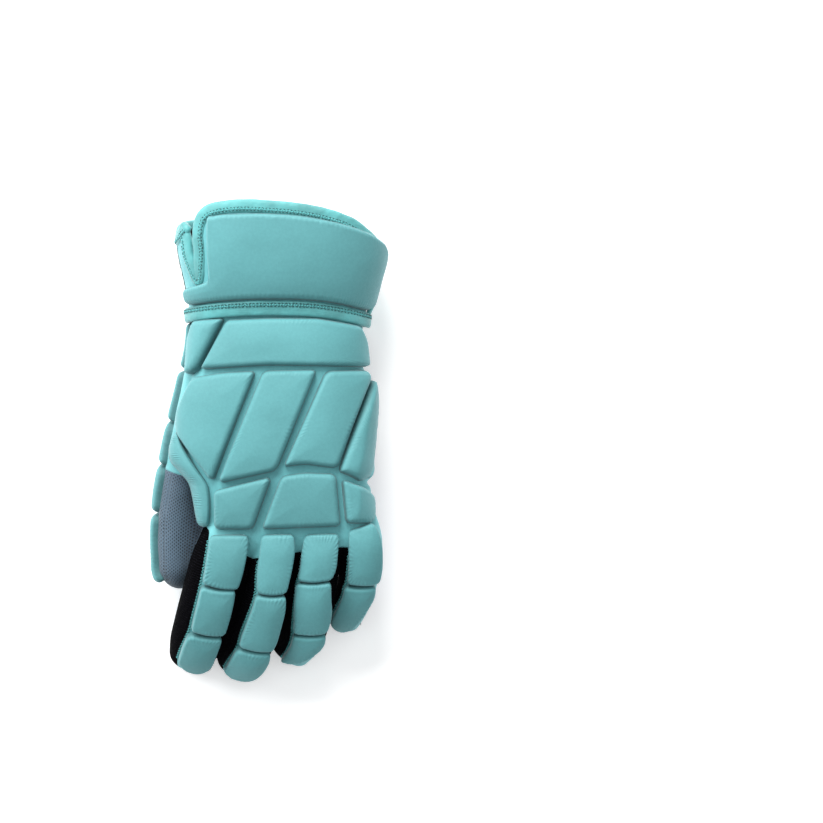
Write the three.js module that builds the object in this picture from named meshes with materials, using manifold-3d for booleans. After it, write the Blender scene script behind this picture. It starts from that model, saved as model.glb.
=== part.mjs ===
// A ball hockey glove for the left hand, lying palm down as it rests by itself.
// Millimetres, +Z up. The fingers point to -Y, the wrist opening to +Y, the thumb is at -X and
// the padded back faces up. The origin is on the floor under the middle of the glove's box.

import * as THREE from "three";
import { mergeVertices } from "three/addons/utils/BufferGeometryUtils.js";
import Module from "manifold-3d";

const wasm = await Module();
wasm.setup();

// Driving dimensions
const CLOTH_WALL = 1.8;
const CUFF_WALL = 3;
const LINING_WALL = 1;
const SEAM_GAP = 0.3;
const PAD_LIFT = 6.5;
const THUMB_PAD_LIFT = 5.5;
const CUFF_PAD_LIFT = 6;
const PAD_BEVEL = 3;
const PAD_SIDE_SHARE = 0.55;
const CROWN = 0.8;
const PAD_SINK = 4;
const PAD_SPLIT = 2;
const BINDING_WIDTH = 7;
const BINDING_THICKNESS = 5.4;
const WRIST_BINDING = { from: 84, to: 94, lift: 0.5, thick: 3 };
const LOOP_THICKNESS = 1.2;
const STRAP_THICKNESS = 1.6;
const TAB_THICKNESS = 2.2;
const TAG_THICKNESS = 0.6;
const VENT_RADIUS = 1.3;
const FINGER_DOME = 10;
const THUMB_DOME = 12;
const BLACK_SIDE_WIDTH = 15;
const KNUCKLE_Y = -58;
const CROTCH_Y = -76;
const CUTTER_START = 12;
const FAR = 200;
const HAND_SIDES = 16;
const FINGER_SIDES = 8;
const FINGER_STEPS = 4;
const CUFF_SIDES = 24;
const CUFF_MM_PER_DEGREE = 1.25;
const REGION_LIFT = 14;

// Roundness of the sections: 2 is an ellipse, and more is squarer.
const HAND_POWER = 2.6;
const FINGER_POWER = 2.5;
const CUFF_TOP_POWER = 2.4;
const CUFF_BOTTOM_POWER = 3.2;

const TEAL = { color: 0x66b7bb, roughness: 0.62, metalness: 0 };
const BRIGHT_TEAL = { color: 0x63c2c2, roughness: 0.5, metalness: 0 };
const GREY_CLOTH = { color: 0x7d97a9, roughness: 0.85, metalness: 0 };
const BLACK_MESH = { color: 0x0b0f14, roughness: 0.8, metalness: 0 };
const BLACK_LOOP = { color: 0x0a0c10, roughness: 1, metalness: 0 };
const NAVY_TAB = { color: 0x19242f, roughness: 0.8, metalness: 0 };
const BLACK_ELASTIC = { color: 0x131b24, roughness: 0.75, metalness: 0 };
const WHITE_TAG = { color: 0xe4e8ea, roughness: 0.8, metalness: 0 };

// The hand's cloth body, without its pads: middle x, half width, highest and lowest z at each y.
const HAND = [
  { y: 88.7, x: 6, half: 57, top: 58, bottom: 8 },
  { y: 58, x: 5, half: 57, top: 61, bottom: 10 },
  { y: 25, x: 5.8, half: 60.5, top: 63.8, bottom: 13.5 },
  { y: -10, x: 6.3, half: 60.7, top: 63.8, bottom: 19 },
  { y: -38, x: 10, half: 58.5, top: 61.3, bottom: 25.5 },
  { y: -61, x: 15, half: 57.7, top: 57.4, bottom: 32 },
  { y: -72, x: 15.5, half: 54.5, top: 54.3, bottom: 35.8 },
  { y: -78, x: 15.5, half: 46, top: 50, bottom: 40 },
];

// Each finger's tube: the middle of its section, and its width and thickness there. lean moves the
// pad side to the outer side of the hand. splits are the y where one pad ends and the next begins.
const FINGERS = [
  {
    name: "index",
    lean: 2.5,
    padWidth: 25,
    splits: [-62.5, -98, -131.5],
    rows: [
      { x: -25, y: -50, z: 43, wide: 30, thick: 21 },
      { x: -29, y: -68, z: 45, wide: 32, thick: 23 },
      { x: -33, y: -82, z: 43.5, wide: 33.5, thick: 23 },
      { x: -38.5, y: -101, z: 38, wide: 34.5, thick: 23 },
      { x: -44.5, y: -121, z: 29.5, wide: 34, thick: 22.5 },
      { x: -49.5, y: -137, z: 19, wide: 32, thick: 21.5 },
      { x: -52, y: -146, z: 10.3, wide: 30, thick: 20 },
    ],
  },
  {
    name: "middle",
    lean: 2.5,
    padWidth: 23.5,
    splits: [-62.5, -102.5, -142],
    rows: [
      { x: 6, y: -50, z: 43.5, wide: 28, thick: 21 },
      { x: 4, y: -68, z: 46, wide: 29.5, thick: 23 },
      { x: 1.5, y: -82, z: 44.5, wide: 30, thick: 23 },
      { x: -3.5, y: -102, z: 40, wide: 31, thick: 23 },
      { x: -9, y: -124, z: 31.5, wide: 32, thick: 22.5 },
      { x: -15, y: -141, z: 20.5, wide: 31, thick: 21.5 },
      { x: -18.5, y: -151, z: 10.3, wide: 29, thick: 20 },
    ],
  },
  {
    name: "ring",
    lean: 2,
    padWidth: 24,
    splits: [-61.5, -96, -132],
    rows: [
      { x: 34.5, y: -50, z: 43, wide: 27.5, thick: 21 },
      { x: 34.5, y: -68, z: 45, wide: 28.5, thick: 23 },
      { x: 32.5, y: -82, z: 43, wide: 29, thick: 23 },
      { x: 28.5, y: -101, z: 37.5, wide: 29.5, thick: 22.5 },
      { x: 25, y: -118, z: 29.5, wide: 30.5, thick: 22 },
      { x: 20.5, y: -132, z: 19.5, wide: 30, thick: 21 },
      { x: 17.5, y: -141, z: 10.3, wide: 28, thick: 20 },
    ],
  },
  {
    name: "little",
    lean: 0.5,
    padWidth: 23,
    splits: [-59.5, -97],
    rows: [
      { x: 57, y: -48, z: 40.5, wide: 26, thick: 20 },
      { x: 62, y: -66, z: 42, wide: 27, thick: 22.5 },
      { x: 61.5, y: -80, z: 39, wide: 27, thick: 22 },
      { x: 58.5, y: -96, z: 31.5, wide: 27, thick: 21.5 },
      { x: 54, y: -110, z: 21, wide: 26.5, thick: 20.5 },
      { x: 50.5, y: -118.5, z: 10, wide: 25, thick: 19.5 },
    ],
  },
];

// The thumb's tube begins inside the hand at the wrist. Its pads face down and outwards.
const THUMB_PAD_FACING = new THREE.Vector3(-0.75, 0, -0.66);
const THUMB = [
  { x: -34, y: 84, z: 31, wide: 36, thick: 33 },
  { x: -36, y: 60, z: 30.5, wide: 38, thick: 33.5 },
  { x: -41, y: 36, z: 30, wide: 40, thick: 34 },
  { x: -47, y: 12, z: 28.5, wide: 39, thick: 32 },
  { x: -53.5, y: -12, z: 26.5, wide: 36, thick: 29 },
  { x: -59, y: -36, z: 24.2, wide: 34, thick: 26.5 },
  { x: -62, y: -60, z: 22.6, wide: 33, thick: 25 },
  { x: -62, y: -81, z: 21.5, wide: 31, thick: 23.5 },
];
// The y where each thumb pad meets the next, at its palm edge and at its outer edge.
const THUMB_SPLITS = [
  { palm: 82, outer: 82 },
  { palm: 51.5, outer: 48.5 },
  { palm: 33.5, outer: 11.5 },
  { palm: -2.5, outer: -18.5 },
  { palm: -42.5, outer: -50.5 },
  { palm: -92, outer: -92 },
];
const THUMB_PAD_SPAN = { palm: -19, outer: 17 };

// Outlines of the pads on the back of the hand, seen from above, and their corner radius.
const BACK_PADS = [
  {
    name: "wrist_pad_inner",
    corner: 3,
    points: [[-55, 79], [-54, 82], [-41, 82.5], [-52, 53], [-57, 45], [-58.5, 49], [-58, 70]],
  },
  {
    name: "wrist_pad_main",
    corner: 3,
    points: [[-30, 82], [0, 83.2], [33, 83], [64, 78], [67, 68], [68.5, 50], [0, 51], [-48, 48.5]],
  },
  {
    name: "back_pad_1",
    corner: 4,
    points: [[-52, 43], [-32, 47.5], [-11, 47.5], [-39, -25.5], [-43.5, -26], [-65, 6], [-65.5, 14]],
  },
  {
    name: "back_pad_2",
    corner: 4,
    points: [[-5.5, 47.5], [31.5, 48.3], [5, -18.5], [-33, -28], [-35, -25.5]],
  },
  {
    name: "back_pad_3",
    corner: 4,
    points: [[36.5, 47.3], [65, 48.3], [67.5, 44], [47, -18.5], [24, -15.5], [9, -17.5]],
  },
  {
    name: "back_pad_outer",
    corner: 4,
    points: [[68.5, 42], [75, 25], [78, 0], [77, -20], [66, -27.5], [49, -20.5], [50, -17]],
  },
  {
    name: "knuckle_pad_inner",
    corner: 3.5,
    points: [[-39, -33], [-1, -24], [1, -26.5], [-11.5, -59.5], [-39, -59.5]],
  },
  {
    name: "knuckle_pad_middle",
    corner: 3.5,
    points: [[8, -23], [24, -20.8], [43, -21.5], [46, -24], [48.5, -55.5], [46, -57.5], [-6, -59.5]],
  },
  {
    name: "knuckle_pad_outer",
    corner: 3.5,
    points: [[49.5, -25], [67, -31], [76, -38], [76, -50], [71, -55.5], [52, -55.5]],
  },
];
// The rolled strip that edges the back above the thumb: its middle line and its width.
const WEB_STRIP = {
  name: "thumb_web_pad",
  rows: [
    { x: -68.5, y: 0, wide: 5 },
    { x: -63.5, y: -9, wide: 8.5 },
    { x: -55, y: -21, wide: 10 },
    { x: -48, y: -33, wide: 11 },
    { x: -45.5, y: -45, wide: 10 },
    { x: -45, y: -56, wide: 8 },
  ],
};

// The cuff's outer wall: middle x, half width, highest and lowest z at each y.
const CUFF = [
  { y: 89.3, x: 4.5, half: 60, top: 60, bottom: 6.5 },
  { y: 107, x: 5.3, half: 63.8, top: 66.5, bottom: 4.3 },
  { y: 130, x: 5.7, half: 69, top: 71.2, bottom: 4 },
  { y: 165, x: 5.5, half: 71.5, top: 75, bottom: 4 },
];
// The cuff's free edge: the y where it ends, by the angle round it. 0 is the little finger's side,
// 90 the top, 180 the thumb's side and 270 the bottom. The dip near 148 is the slit.
const CUFF_EDGE = [
  { angle: -32, y: 100 },
  { angle: -30.5, y: 124 },
  { angle: -25, y: 130 },
  { angle: -10, y: 131 },
  { angle: 10, y: 134.5 },
  { angle: 30, y: 142 },
  { angle: 50, y: 151 },
  { angle: 75, y: 159 },
  { angle: 100, y: 163.5 },
  { angle: 120, y: 162.5 },
  { angle: 133, y: 158.5 },
  { angle: 139, y: 151 },
  { angle: 141.5, y: 137 },
  { angle: 143.5, y: 120 },
  { angle: 148, y: 113 },
  { angle: 152.5, y: 119 },
  { angle: 155, y: 136 },
  { angle: 157, y: 147 },
  { angle: 163, y: 150 },
  { angle: 185, y: 152 },
  { angle: 225, y: 151.5 },
  { angle: 265, y: 150 },
  { angle: 295, y: 147.5 },
  { angle: 311, y: 144 },
  { angle: 318, y: 138 },
  { angle: 320, y: 124 },
  { angle: 322, y: 100 },
];
const CUFF_PAD = [
  { angle: 2, from: 97, to: 124 },
  { angle: 15, from: 96, to: 131 },
  { angle: 35, from: 95.5, to: 137 },
  { angle: 60, from: 95.5, to: 146 },
  { angle: 90, from: 95.5, to: 153 },
  { angle: 115, from: 95.5, to: 153 },
  { angle: 128, from: 95.5, to: 149.5 },
  { angle: 133.5, from: 95.5, to: 140 },
  { angle: 136, from: 95.5, to: 122 },
  { angle: 140, from: 95.5, to: 107 },
  { angle: 155, from: 95.5, to: 104 },
  { angle: 163, from: 96, to: 102.5 },
];
const LOOP_ROWS = [186, 207, 228, 249, 270, 290, 308].map((angle) => ({ angle, y: 117.3, wide: 38.5 }));
const STRAP_ROWS = [
  { angle: 292.5, y: 118.5, wide: 31 },
  { angle: 305, y: 118.8, wide: 31 },
  { angle: 318, y: 119.5, wide: 31 },
  { angle: 330, y: 121.5, wide: 31 },
  { angle: 342, y: 124, wide: 30 },
  { angle: 353, y: 125, wide: 28 },
];
const TAB_ROWS = [
  { angle: 243, y: 116.5, wide: 37 },
  { angle: 255, y: 116.5, wide: 37 },
  { angle: 270, y: 117, wide: 37 },
  { angle: 282, y: 117.5, wide: 37 },
  { angle: 292, y: 118, wide: 36 },
];
const TAG_ROWS = [
  { angle: 84, from: 138, to: 150 },
  { angle: 99, from: 138, to: 150 },
];

// The air holes punched in the palm, at x and y.
const VENTS = [
  [-17, -36.5], [2, -28.5], [21, -20.5], [38, -14.5], [54, -9],
  [15.5, 6], [-19, 31], [15, 27], [33, 29],
  [15.5, 50.5], [33, 51], [49, 49.5],
];

// A named column of a table, smooth between its rows; place counts rows from 0.
function columnAt(rows, column, place) {
  const last = rows.length - 1;
  const at = Math.min(Math.max(place, 0), last);
  const i = Math.min(Math.floor(at), last - 1);
  const t = at - i;
  const b = rows[i][column];
  const c = rows[i + 1][column];
  const a = i > 0 ? rows[i - 1][column] : 2 * b - c;
  const d = i + 2 <= last ? rows[i + 2][column] : 2 * c - b;
  return (
    b +
    0.5 * t * (c - a + t * (2 * a - 5 * b + 4 * c - d + t * (3 * (b - c) + d - a)))
  );
}

// A row that holds every column, smooth between the table's rows.
function rowAt(rows, place) {
  const columns = Object.keys(rows[0]);
  return Object.fromEntries(columns.map((c) => [c, columnAt(rows, c, place)]));
}

// The place along a table where a column that only falls or only rises has a value.
function placeWhere(rows, column, value) {
  let low = 0;
  let high = rows.length - 1;
  const rising = rows[high][column] > rows[low][column];
  for (let i = 0; i < 40; i++) {
    const mid = (low + high) / 2;
    if (columnAt(rows, column, mid) < value === rising) low = mid;
    else high = mid;
  }
  return (low + high) / 2;
}

// A rounded section's point: across and up are 1 at its sides and its top.
function onSection(angle, power) {
  const c = Math.cos(angle);
  const s = Math.sin(angle);
  return {
    across: Math.sign(c) * Math.abs(c) ** (2 / power),
    up: Math.sign(s) * Math.abs(s) ** (2 / power),
  };
}

// A point of a section of half width a and half height b, moved straight off it by lift.
function sectionPoint({ a, b, power }, angle, lift) {
  const { across, up } = onSection(angle, power);
  const tiltX = (Math.sign(across) * Math.abs(across) ** (power - 1)) / a;
  const tiltZ = (Math.sign(up) * Math.abs(up) ** (power - 1)) / b;
  const size = Math.hypot(tiltX, tiltZ);
  return { x: a * across + (lift * tiltX) / size, z: b * up + (lift * tiltZ) / size };
}

// The angle at which a section's upper side, lifted, reaches a distance across from its middle.
// Past the section's side the distance runs on down that side.
function angleAcross(section, distance, lift) {
  const reach = section.a + lift;
  let low = 0;
  let high = Math.PI / 2;
  for (let i = 0; i < 30; i++) {
    const mid = (low + high) / 2;
    if (sectionPoint(section, mid, lift).x > Math.abs(distance)) low = mid;
    else high = mid;
  }
  const angle = low - Math.max(Math.abs(distance) - reach, 0) / section.b;
  return distance < 0 ? Math.PI - angle : angle;
}

function handSection(y) {
  const row = rowAt(HAND, placeWhere(HAND, "y", y));
  return {
    x: row.x,
    z: (row.top + row.bottom) / 2,
    a: row.half,
    b: (row.top - row.bottom) / 2,
    power: HAND_POWER,
  };
}

// A point of the hand's surface at an angle round the section at y, lifted off the cloth.
function handPoint(angle, y, lift) {
  const section = handSection(y);
  const p = sectionPoint(section, angle, lift);
  return new THREE.Vector3(section.x + p.x, y, section.z + p.z);
}

// The same surface by the x at which a pad's face is seen from above.
function backPoint(x, y, lift) {
  const section = handSection(y);
  return handPoint(angleAcross(section, x - section.x, PAD_LIFT), y, lift);
}

// A finger's or the thumb's centre line with its frames, by distance along it.
class Tube {
  constructor({ rows, facing, lean, dome, padLift }) {
    Object.assign(this, { rows, facing, lean, dome, padLift });
    this.curve = new THREE.CatmullRomCurve3(
      rows.map((r) => new THREE.Vector3(r.x, r.y, r.z)),
      false,
      "centripetal",
    );
    this.curve.arcLengthDivisions = 400;
    this.length = this.curve.getLength();
  }

  // The section at a distance along the tube. Past its length it closes in a dome.
  frame(distance) {
    const share = Math.min(Math.max(distance / this.length, 0), 1);
    const place = this.curve.getUtoTmapping(share) * (this.rows.length - 1);
    const row = rowAt(this.rows, place);
    const along = this.curve.getTangentAt(share);
    const up = this.facing.clone().addScaledVector(along, -this.facing.dot(along)).normalize();
    const side = up.clone().cross(along);
    const past = Math.max(distance - this.length, 0);
    const turn = Math.asin(Math.min(past / this.dome, 1));
    const centre = this.curve.getPointAt(share).addScaledVector(along, past);
    const shrink = Math.cos(turn);
    const section = {
      a: (row.wide / 2) * shrink,
      b: (row.thick / 2) * shrink,
      power: FINGER_POWER,
    };
    const leaning = up.clone().addScaledVector(side, (2 * this.lean) / row.thick);
    return { centre, along, up: leaning, side, turn, section, thick: row.thick };
  }

  // A point at an angle round the section, lifted off the cloth.
  point(distance, angle, lift) {
    const f = this.frame(distance);
    const p = sectionPoint(f.section, angle, lift * Math.cos(f.turn));
    return f.centre
      .addScaledVector(f.side, p.x)
      .addScaledVector(f.up, p.z)
      .addScaledVector(f.along, lift * Math.sin(f.turn));
  }

  // A point of the pad side by the distance across at which a pad's face is seen there.
  padPoint(distance, offset, lift) {
    const { section, turn } = this.frame(distance);
    const padLift = this.padLift * Math.cos(turn);
    return this.point(distance, angleAcross(section, offset, padLift), lift);
  }

  // The distance along the tube where a lifted point of its pad side has this y.
  distanceAtY(y, offset, lift) {
    let low = 0;
    let high = this.length + this.dome * 0.98;
    for (let i = 0; i < 40; i++) {
      const mid = (low + high) / 2;
      if (this.padPoint(mid, offset, lift).y > y) low = mid;
      else high = mid;
    }
    return (low + high) / 2;
  }

  ring(distance, lift, sides) {
    return Array.from({ length: sides }, (_, i) =>
      this.point(distance, (2 * Math.PI * i) / sides, lift),
    );
  }

  // The closed outer form, lifted off the cloth by lift, or the hollow if lift is below 0.
  solid(lift, sides) {
    const steps = Array.from({ length: FINGER_STEPS + 1 }, (_, i) =>
      (this.length * i) / FINGER_STEPS,
    );
    const domes = [0.6, 0.95].map((k) => this.length + this.dome * k);
    const rings = [...steps, ...domes].map((d) => this.ring(d, lift, sides));
    const back = this.frame(0).along.multiplyScalar(-lift);
    rings[0].forEach((p) => p.add(back));
    return solidOf(loft(rings));
  }

  // A prism along the tube between two offsets across, on its pad side, 1, or its palm side, -1.
  cutter({ from, to, left, right, side, grow }) {
    const rings = Array.from({ length: FINGER_STEPS + 1 }, (_, i) => {
      const f = this.frame(from + ((to - from) * i) / FINGER_STEPS);
      const ahead = i === 0 ? -grow : i === FINGER_STEPS ? grow : 0;
      const corner = (across, up) =>
        f.centre
          .clone()
          .addScaledVector(f.side, across)
          .addScaledVector(f.up, up)
          .addScaledVector(f.along, ahead);
      const deep = side * (f.thick / 2 + 4);
      return [
        corner(left - grow, -side * grow),
        corner(right + grow, -side * grow),
        corner(right + grow, deep),
        corner(left - grow, deep),
      ];
    });
    return solidOf(loft(rings));
  }
}

// A closed mesh through rings of points that have the same count. Its ends close to the middles
// of their rings, or the last one to a given tip.
function loft(rings, tip) {
  const sides = rings[0].length;
  const index = [];
  for (let r = 0; r + 1 < rings.length; r++) {
    for (let i = 0; i < sides; i++) {
      const a = r * sides + i;
      const b = r * sides + ((i + 1) % sides);
      index.push(a, b, b + sides, a, b + sides, a + sides);
    }
  }
  const points = rings.flat();
  for (const [ring, first] of [[rings[0], 0], [rings.at(-1), (rings.length - 1) * sides]]) {
    const middle = ring.reduce((sum, p) => sum.add(p), new THREE.Vector3());
    points.push(first && tip ? tip : middle.divideScalar(sides));
    for (let i = 0; i < sides; i++) {
      const pair = [first + i, first + ((i + 1) % sides)];
      index.push(points.length - 1, ...(first ? pair : pair.reverse()));
    }
  }
  return new THREE.BufferGeometry().setFromPoints(points).setIndex(index);
}

// A closed wall between an outer and an inner sheet of points, both rows by columns.
function wall(outer, inner) {
  const rows = outer.length;
  const columns = outer[0].length;
  const points = [...outer.flat(), ...inner.flat()];
  const index = [];
  const quad = (a, b, c, d) => index.push(a, b, c, a, c, d);
  const out = (r, c) => r * columns + c;
  const inn = (r, c) => rows * columns + r * columns + c;
  for (let r = 0; r + 1 < rows; r++) {
    for (let c = 0; c + 1 < columns; c++) {
      quad(out(r, c), out(r + 1, c), out(r + 1, c + 1), out(r, c + 1));
      quad(inn(r, c), inn(r, c + 1), inn(r + 1, c + 1), inn(r + 1, c));
    }
    quad(out(r + 1, 0), out(r, 0), inn(r, 0), inn(r + 1, 0));
    const e = columns - 1;
    quad(out(r, e), out(r + 1, e), inn(r + 1, e), inn(r, e));
  }
  for (let c = 0; c + 1 < columns; c++) {
    const e = rows - 1;
    quad(out(0, c), out(0, c + 1), inn(0, c + 1), inn(0, c));
    quad(out(e, c + 1), out(e, c), inn(e, c), inn(e, c + 1));
  }
  return new THREE.BufferGeometry().setFromPoints(points).setIndex(index);
}

// A closed tube whose section's corners are rings of points, one ring for each corner.
function ringSolid(corners) {
  const sides = corners[0].length;
  const at = (c, i) => (c % corners.length) * sides + (i % sides);
  const index = [];
  for (let c = 0; c < corners.length; c++) {
    for (let i = 0; i < sides; i++) {
      index.push(at(c, i), at(c + 1, i), at(c + 1, i + 1));
      index.push(at(c, i), at(c + 1, i + 1), at(c, i + 1));
    }
  }
  return solidOf(new THREE.BufferGeometry().setFromPoints(corners.flat()).setIndex(index));
}

// A closed mesh as a solid, turned right side out.
function solidOf(geometry) {
  const bare = new THREE.BufferGeometry();
  bare.setAttribute("position", geometry.getAttribute("position"));
  bare.setIndex(geometry.index);
  const merged = mergeVertices(bare, 1e-4);
  const make = (triVerts) =>
    new wasm.Manifold(
      new wasm.Mesh({
        numProp: 3,
        vertProperties: merged.attributes.position.array,
        triVerts,
      }),
    );
  const faces = new Uint32Array(merged.index.array);
  const made = make(faces);
  return made.volume() < 0 ? make(faces.reverse()) : made;
}

function union(solids) {
  return solids.reduce((a, b) => a.add(b));
}

// The largest body of a cut solid, without the slivers that a cut can leave.
function mainBody(solid) {
  return solid.decompose().sort((a, b) => b.volume() - a.volume())[0];
}

const group = new THREE.Group();

function addPiece(name, solid, finish) {
  const mesh = mainBody(solid).getMesh();
  const positions = new Float32Array(mesh.numVert * 3);
  for (let i = 0; i < mesh.numVert; i++) {
    const at = i * mesh.numProp;
    positions.set(mesh.vertProperties.subarray(at, at + 3), i * 3);
  }
  const geometry = new THREE.BufferGeometry();
  geometry.setAttribute("position", new THREE.BufferAttribute(positions, 3));
  geometry.setIndex(new THREE.BufferAttribute(mesh.triVerts, 1));
  const piece = new THREE.Mesh(geometry, new THREE.MeshStandardMaterial(finish));
  piece.name = name;
  group.add(piece);
}

// An outline with its corners cut off and its long sides divided.
function cutOutline(points, corner, longest) {
  const outline = [];
  const count = points.length;
  const at = points.map(([x, y]) => new THREE.Vector2(x, y));
  for (let i = 0; i < count; i++) {
    const p = at[i];
    const before = at[(i + count - 1) % count].clone().sub(p);
    const after = at[(i + 1) % count].clone().sub(p);
    if (!corner) {
      outline.push(p);
      continue;
    }
    const cut = Math.min(corner, before.length() * 0.45, after.length() * 0.45);
    const from = p.clone().addScaledVector(before.normalize(), cut);
    const to = p.clone().addScaledVector(after.normalize(), cut);
    outline.push(from, to);
  }
  return outline.flatMap((p, i) => {
    const next = outline[(i + 1) % outline.length];
    const parts = Math.max(1, Math.ceil(p.distanceTo(next) / longest));
    return Array.from({ length: parts }, (_, k) => p.clone().lerp(next, k / parts));
  });
}

// The point p of a line moved to its left, where before and after are its neighbours.
function movedLeft(before, p, after, distance) {
  const into = p.clone().sub(before).normalize();
  const out = after.clone().sub(p).normalize();
  const along = into.clone().add(out).normalize();
  const stretch = distance / Math.max(along.dot(out), 0.6);
  return new THREE.Vector2(p.x - along.y * stretch, p.y + along.x * stretch);
}

// The outline moved inwards by a distance.
function insetOutline(outline, inset) {
  const count = outline.length;
  const turn = THREE.ShapeUtils.isClockWise(outline) ? -1 : 1;
  return outline.map((p, i) =>
    movedLeft(outline[(i + count - 1) % count], p, outline[(i + 1) % count], inset * turn),
  );
}

// A padded block over an outline, laid on the surface that toSurface(u, v, lift) gives. A wide one
// follows the surface under its middle too.
function padOver(outline, toSurface, lift, wide) {
  const levels = [
    { inset: 0, lift: -PAD_SINK },
    { inset: 0, lift: lift * PAD_SIDE_SHARE },
    { inset: PAD_BEVEL, lift },
  ];
  const rings = levels.map((level) =>
    insetOutline(outline, level.inset).map((p) => toSurface(p.x, p.y, level.lift)),
  );
  const inner = insetOutline(outline, PAD_BEVEL);
  const middle = inner.reduce((sum, p) => sum.add(p), new THREE.Vector2());
  middle.divideScalar(inner.length);
  for (const share of wide ? [0.25, 0.6] : []) {
    const within = inner.map((p) => p.clone().lerp(middle, share));
    rings.push(within.map((p) => toSurface(p.x, p.y, lift + CROWN)));
  }
  return solidOf(loft(rings, toSurface(middle.x, middle.y, lift + CROWN)));
}

// The hand's body, its fingers and its thumb
const fingers = FINGERS.map(({ rows, lean, ...finger }) => ({
  ...finger,
  lean,
  tube: new Tube({
    rows,
    lean,
    facing: new THREE.Vector3(0, 0, 1),
    dome: FINGER_DOME,
    padLift: PAD_LIFT,
  }),
}));
const thumb = new Tube({
  rows: THUMB,
  lean: 0,
  facing: THUMB_PAD_FACING,
  dome: THUMB_DOME,
  padLift: THUMB_PAD_LIFT,
});

function handSolid(lift, wristReach) {
  const rings = HAND.map(({ y }, i) => {
    const moved = i ? 0 : wristReach;
    const ahead = i + 1 < HAND.length ? 0 : lift;
    return Array.from({ length: HAND_SIDES }, (_, k) =>
      handPoint((2 * Math.PI * k) / HAND_SIDES, y, lift).setY(y + moved - ahead),
    );
  });
  return solidOf(loft(rings));
}

function clothForm(lift, wristReach) {
  const tubes = fingers.map(({ tube }) => tube.solid(lift, FINGER_SIDES));
  return union([handSolid(lift, wristReach), ...tubes]);
}

const outside = clothForm(0, 0);
const hollow = clothForm(-CLOTH_WALL, 10);
const thumbSeat = thumb.solid(SEAM_GAP, FINGER_SIDES);
const thumbHollow = thumb.solid(-CLOTH_WALL, FINGER_SIDES);
const padSeat = clothForm(SEAM_GAP, 0).add(thumbSeat);
const handShell = outside.subtract(hollow).subtract(thumbHollow);

// A block along the hand between heights and widths that are given for each y.
function handBlock(rows) {
  return solidOf(
    loft(
      rows.map(({ y, left, right, low, high }) => [
        new THREE.Vector3(left, y, low),
        new THREE.Vector3(right, y, low),
        new THREE.Vector3(right, y, high),
        new THREE.Vector3(left, y, high),
      ]),
    ),
  );
}

// The hand's rows behind the knuckles, where the teal and the grey cloth meet at its sides.
const PALM_ROWS = HAND.filter((row) => row.y > KNUCKLE_Y).map((row, i) => ({
  y: i ? row.y : FAR,
  left: -FAR,
  right: row.x + row.half - BLACK_SIDE_WIDTH,
  middle: (row.top + row.bottom) / 2,
}));

// The part of the cloth that is teal: the upper half of the hand and the tops of the fingers.
function backRegion(grow) {
  const rows = PALM_ROWS.map(({ y, middle }) => ({
    y,
    left: -FAR,
    right: FAR,
    low: middle - 2 - grow,
    high: FAR,
  }));
  const last = rows.at(-1);
  const ahead = { ...last, left: -38 - grow, low: 46 - grow, y: KNUCKLE_Y - 1 - grow };
  rows.push({ ...last, y: KNUCKLE_Y - grow }, ahead, { ...ahead, y: CROTCH_Y - grow });
  const tops = fingers.map(({ tube, padWidth, lean }) =>
    tube.cutter({
      from: CUTTER_START,
      to: tube.length + 4,
      left: lean / 2 - padWidth / 2 + 1,
      right: lean / 2 + padWidth / 2 + 3,
      side: 1,
      grow,
    }),
  );
  return union([handBlock(rows), ...tops]);
}

// The part that is grey: the palm, its thumb side and the inner faces of the fingers.
function palmRegion(grow) {
  const rows = PALM_ROWS.map(({ y, left, right, middle }) => ({
    y,
    left,
    right: right + grow,
    low: -FAR,
    high: middle + grow,
  }));
  const last = rows.at(-1);
  const ahead = { ...last, left: -37 - grow, y: KNUCKLE_Y - 1 - grow };
  rows.push({ ...last, y: KNUCKLE_Y - grow }, ahead, { ...ahead, y: CROTCH_Y - grow });
  const strips = fingers.map(({ tube, padWidth, lean }) =>
    tube.cutter({
      from: CUTTER_START,
      to: tube.length - 7,
      left: -lean - padWidth / 2 + 1,
      right: -lean + padWidth / 2 - 1,
      side: -1,
      grow,
    }),
  );
  return union([handBlock(rows), ...strips]);
}

function vent([x, y]) {
  const drill = new THREE.CylinderGeometry(VENT_RADIUS, VENT_RADIUS, 40, 6);
  drill.rotateX(Math.PI / 2).translate(x, y, 15);
  return solidOf(drill);
}

function addCloth() {
  const back = handShell.intersect(backRegion(0));
  const palm = handShell
    .intersect(palmRegion(0))
    .subtract(backRegion(SEAM_GAP))
    .subtract(union(VENTS.map(vent)));
  const gusset = handShell.subtract(backRegion(SEAM_GAP)).subtract(palmRegion(SEAM_GAP));
  const sleeve = thumb
    .solid(0, FINGER_SIDES)
    .subtract(thumbHollow)
    .subtract(handSolid(SEAM_GAP, 10));
  addPiece("back_shell", back.subtract(thumbSeat), TEAL);
  addPiece("palm", palm.subtract(thumbSeat), GREY_CLOTH);
  addPiece("finger_gusset", gusset.subtract(thumbSeat), BLACK_MESH);
  addPiece("thumb_sleeve", sleeve, GREY_CLOTH);
}

function addBackPads() {
  for (const { name, corner, points } of BACK_PADS) {
    const outline = cutOutline(points, corner, 26);
    addPiece(name, padOver(outline, backPoint, PAD_LIFT, true).subtract(padSeat), TEAL);
  }
}

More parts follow.
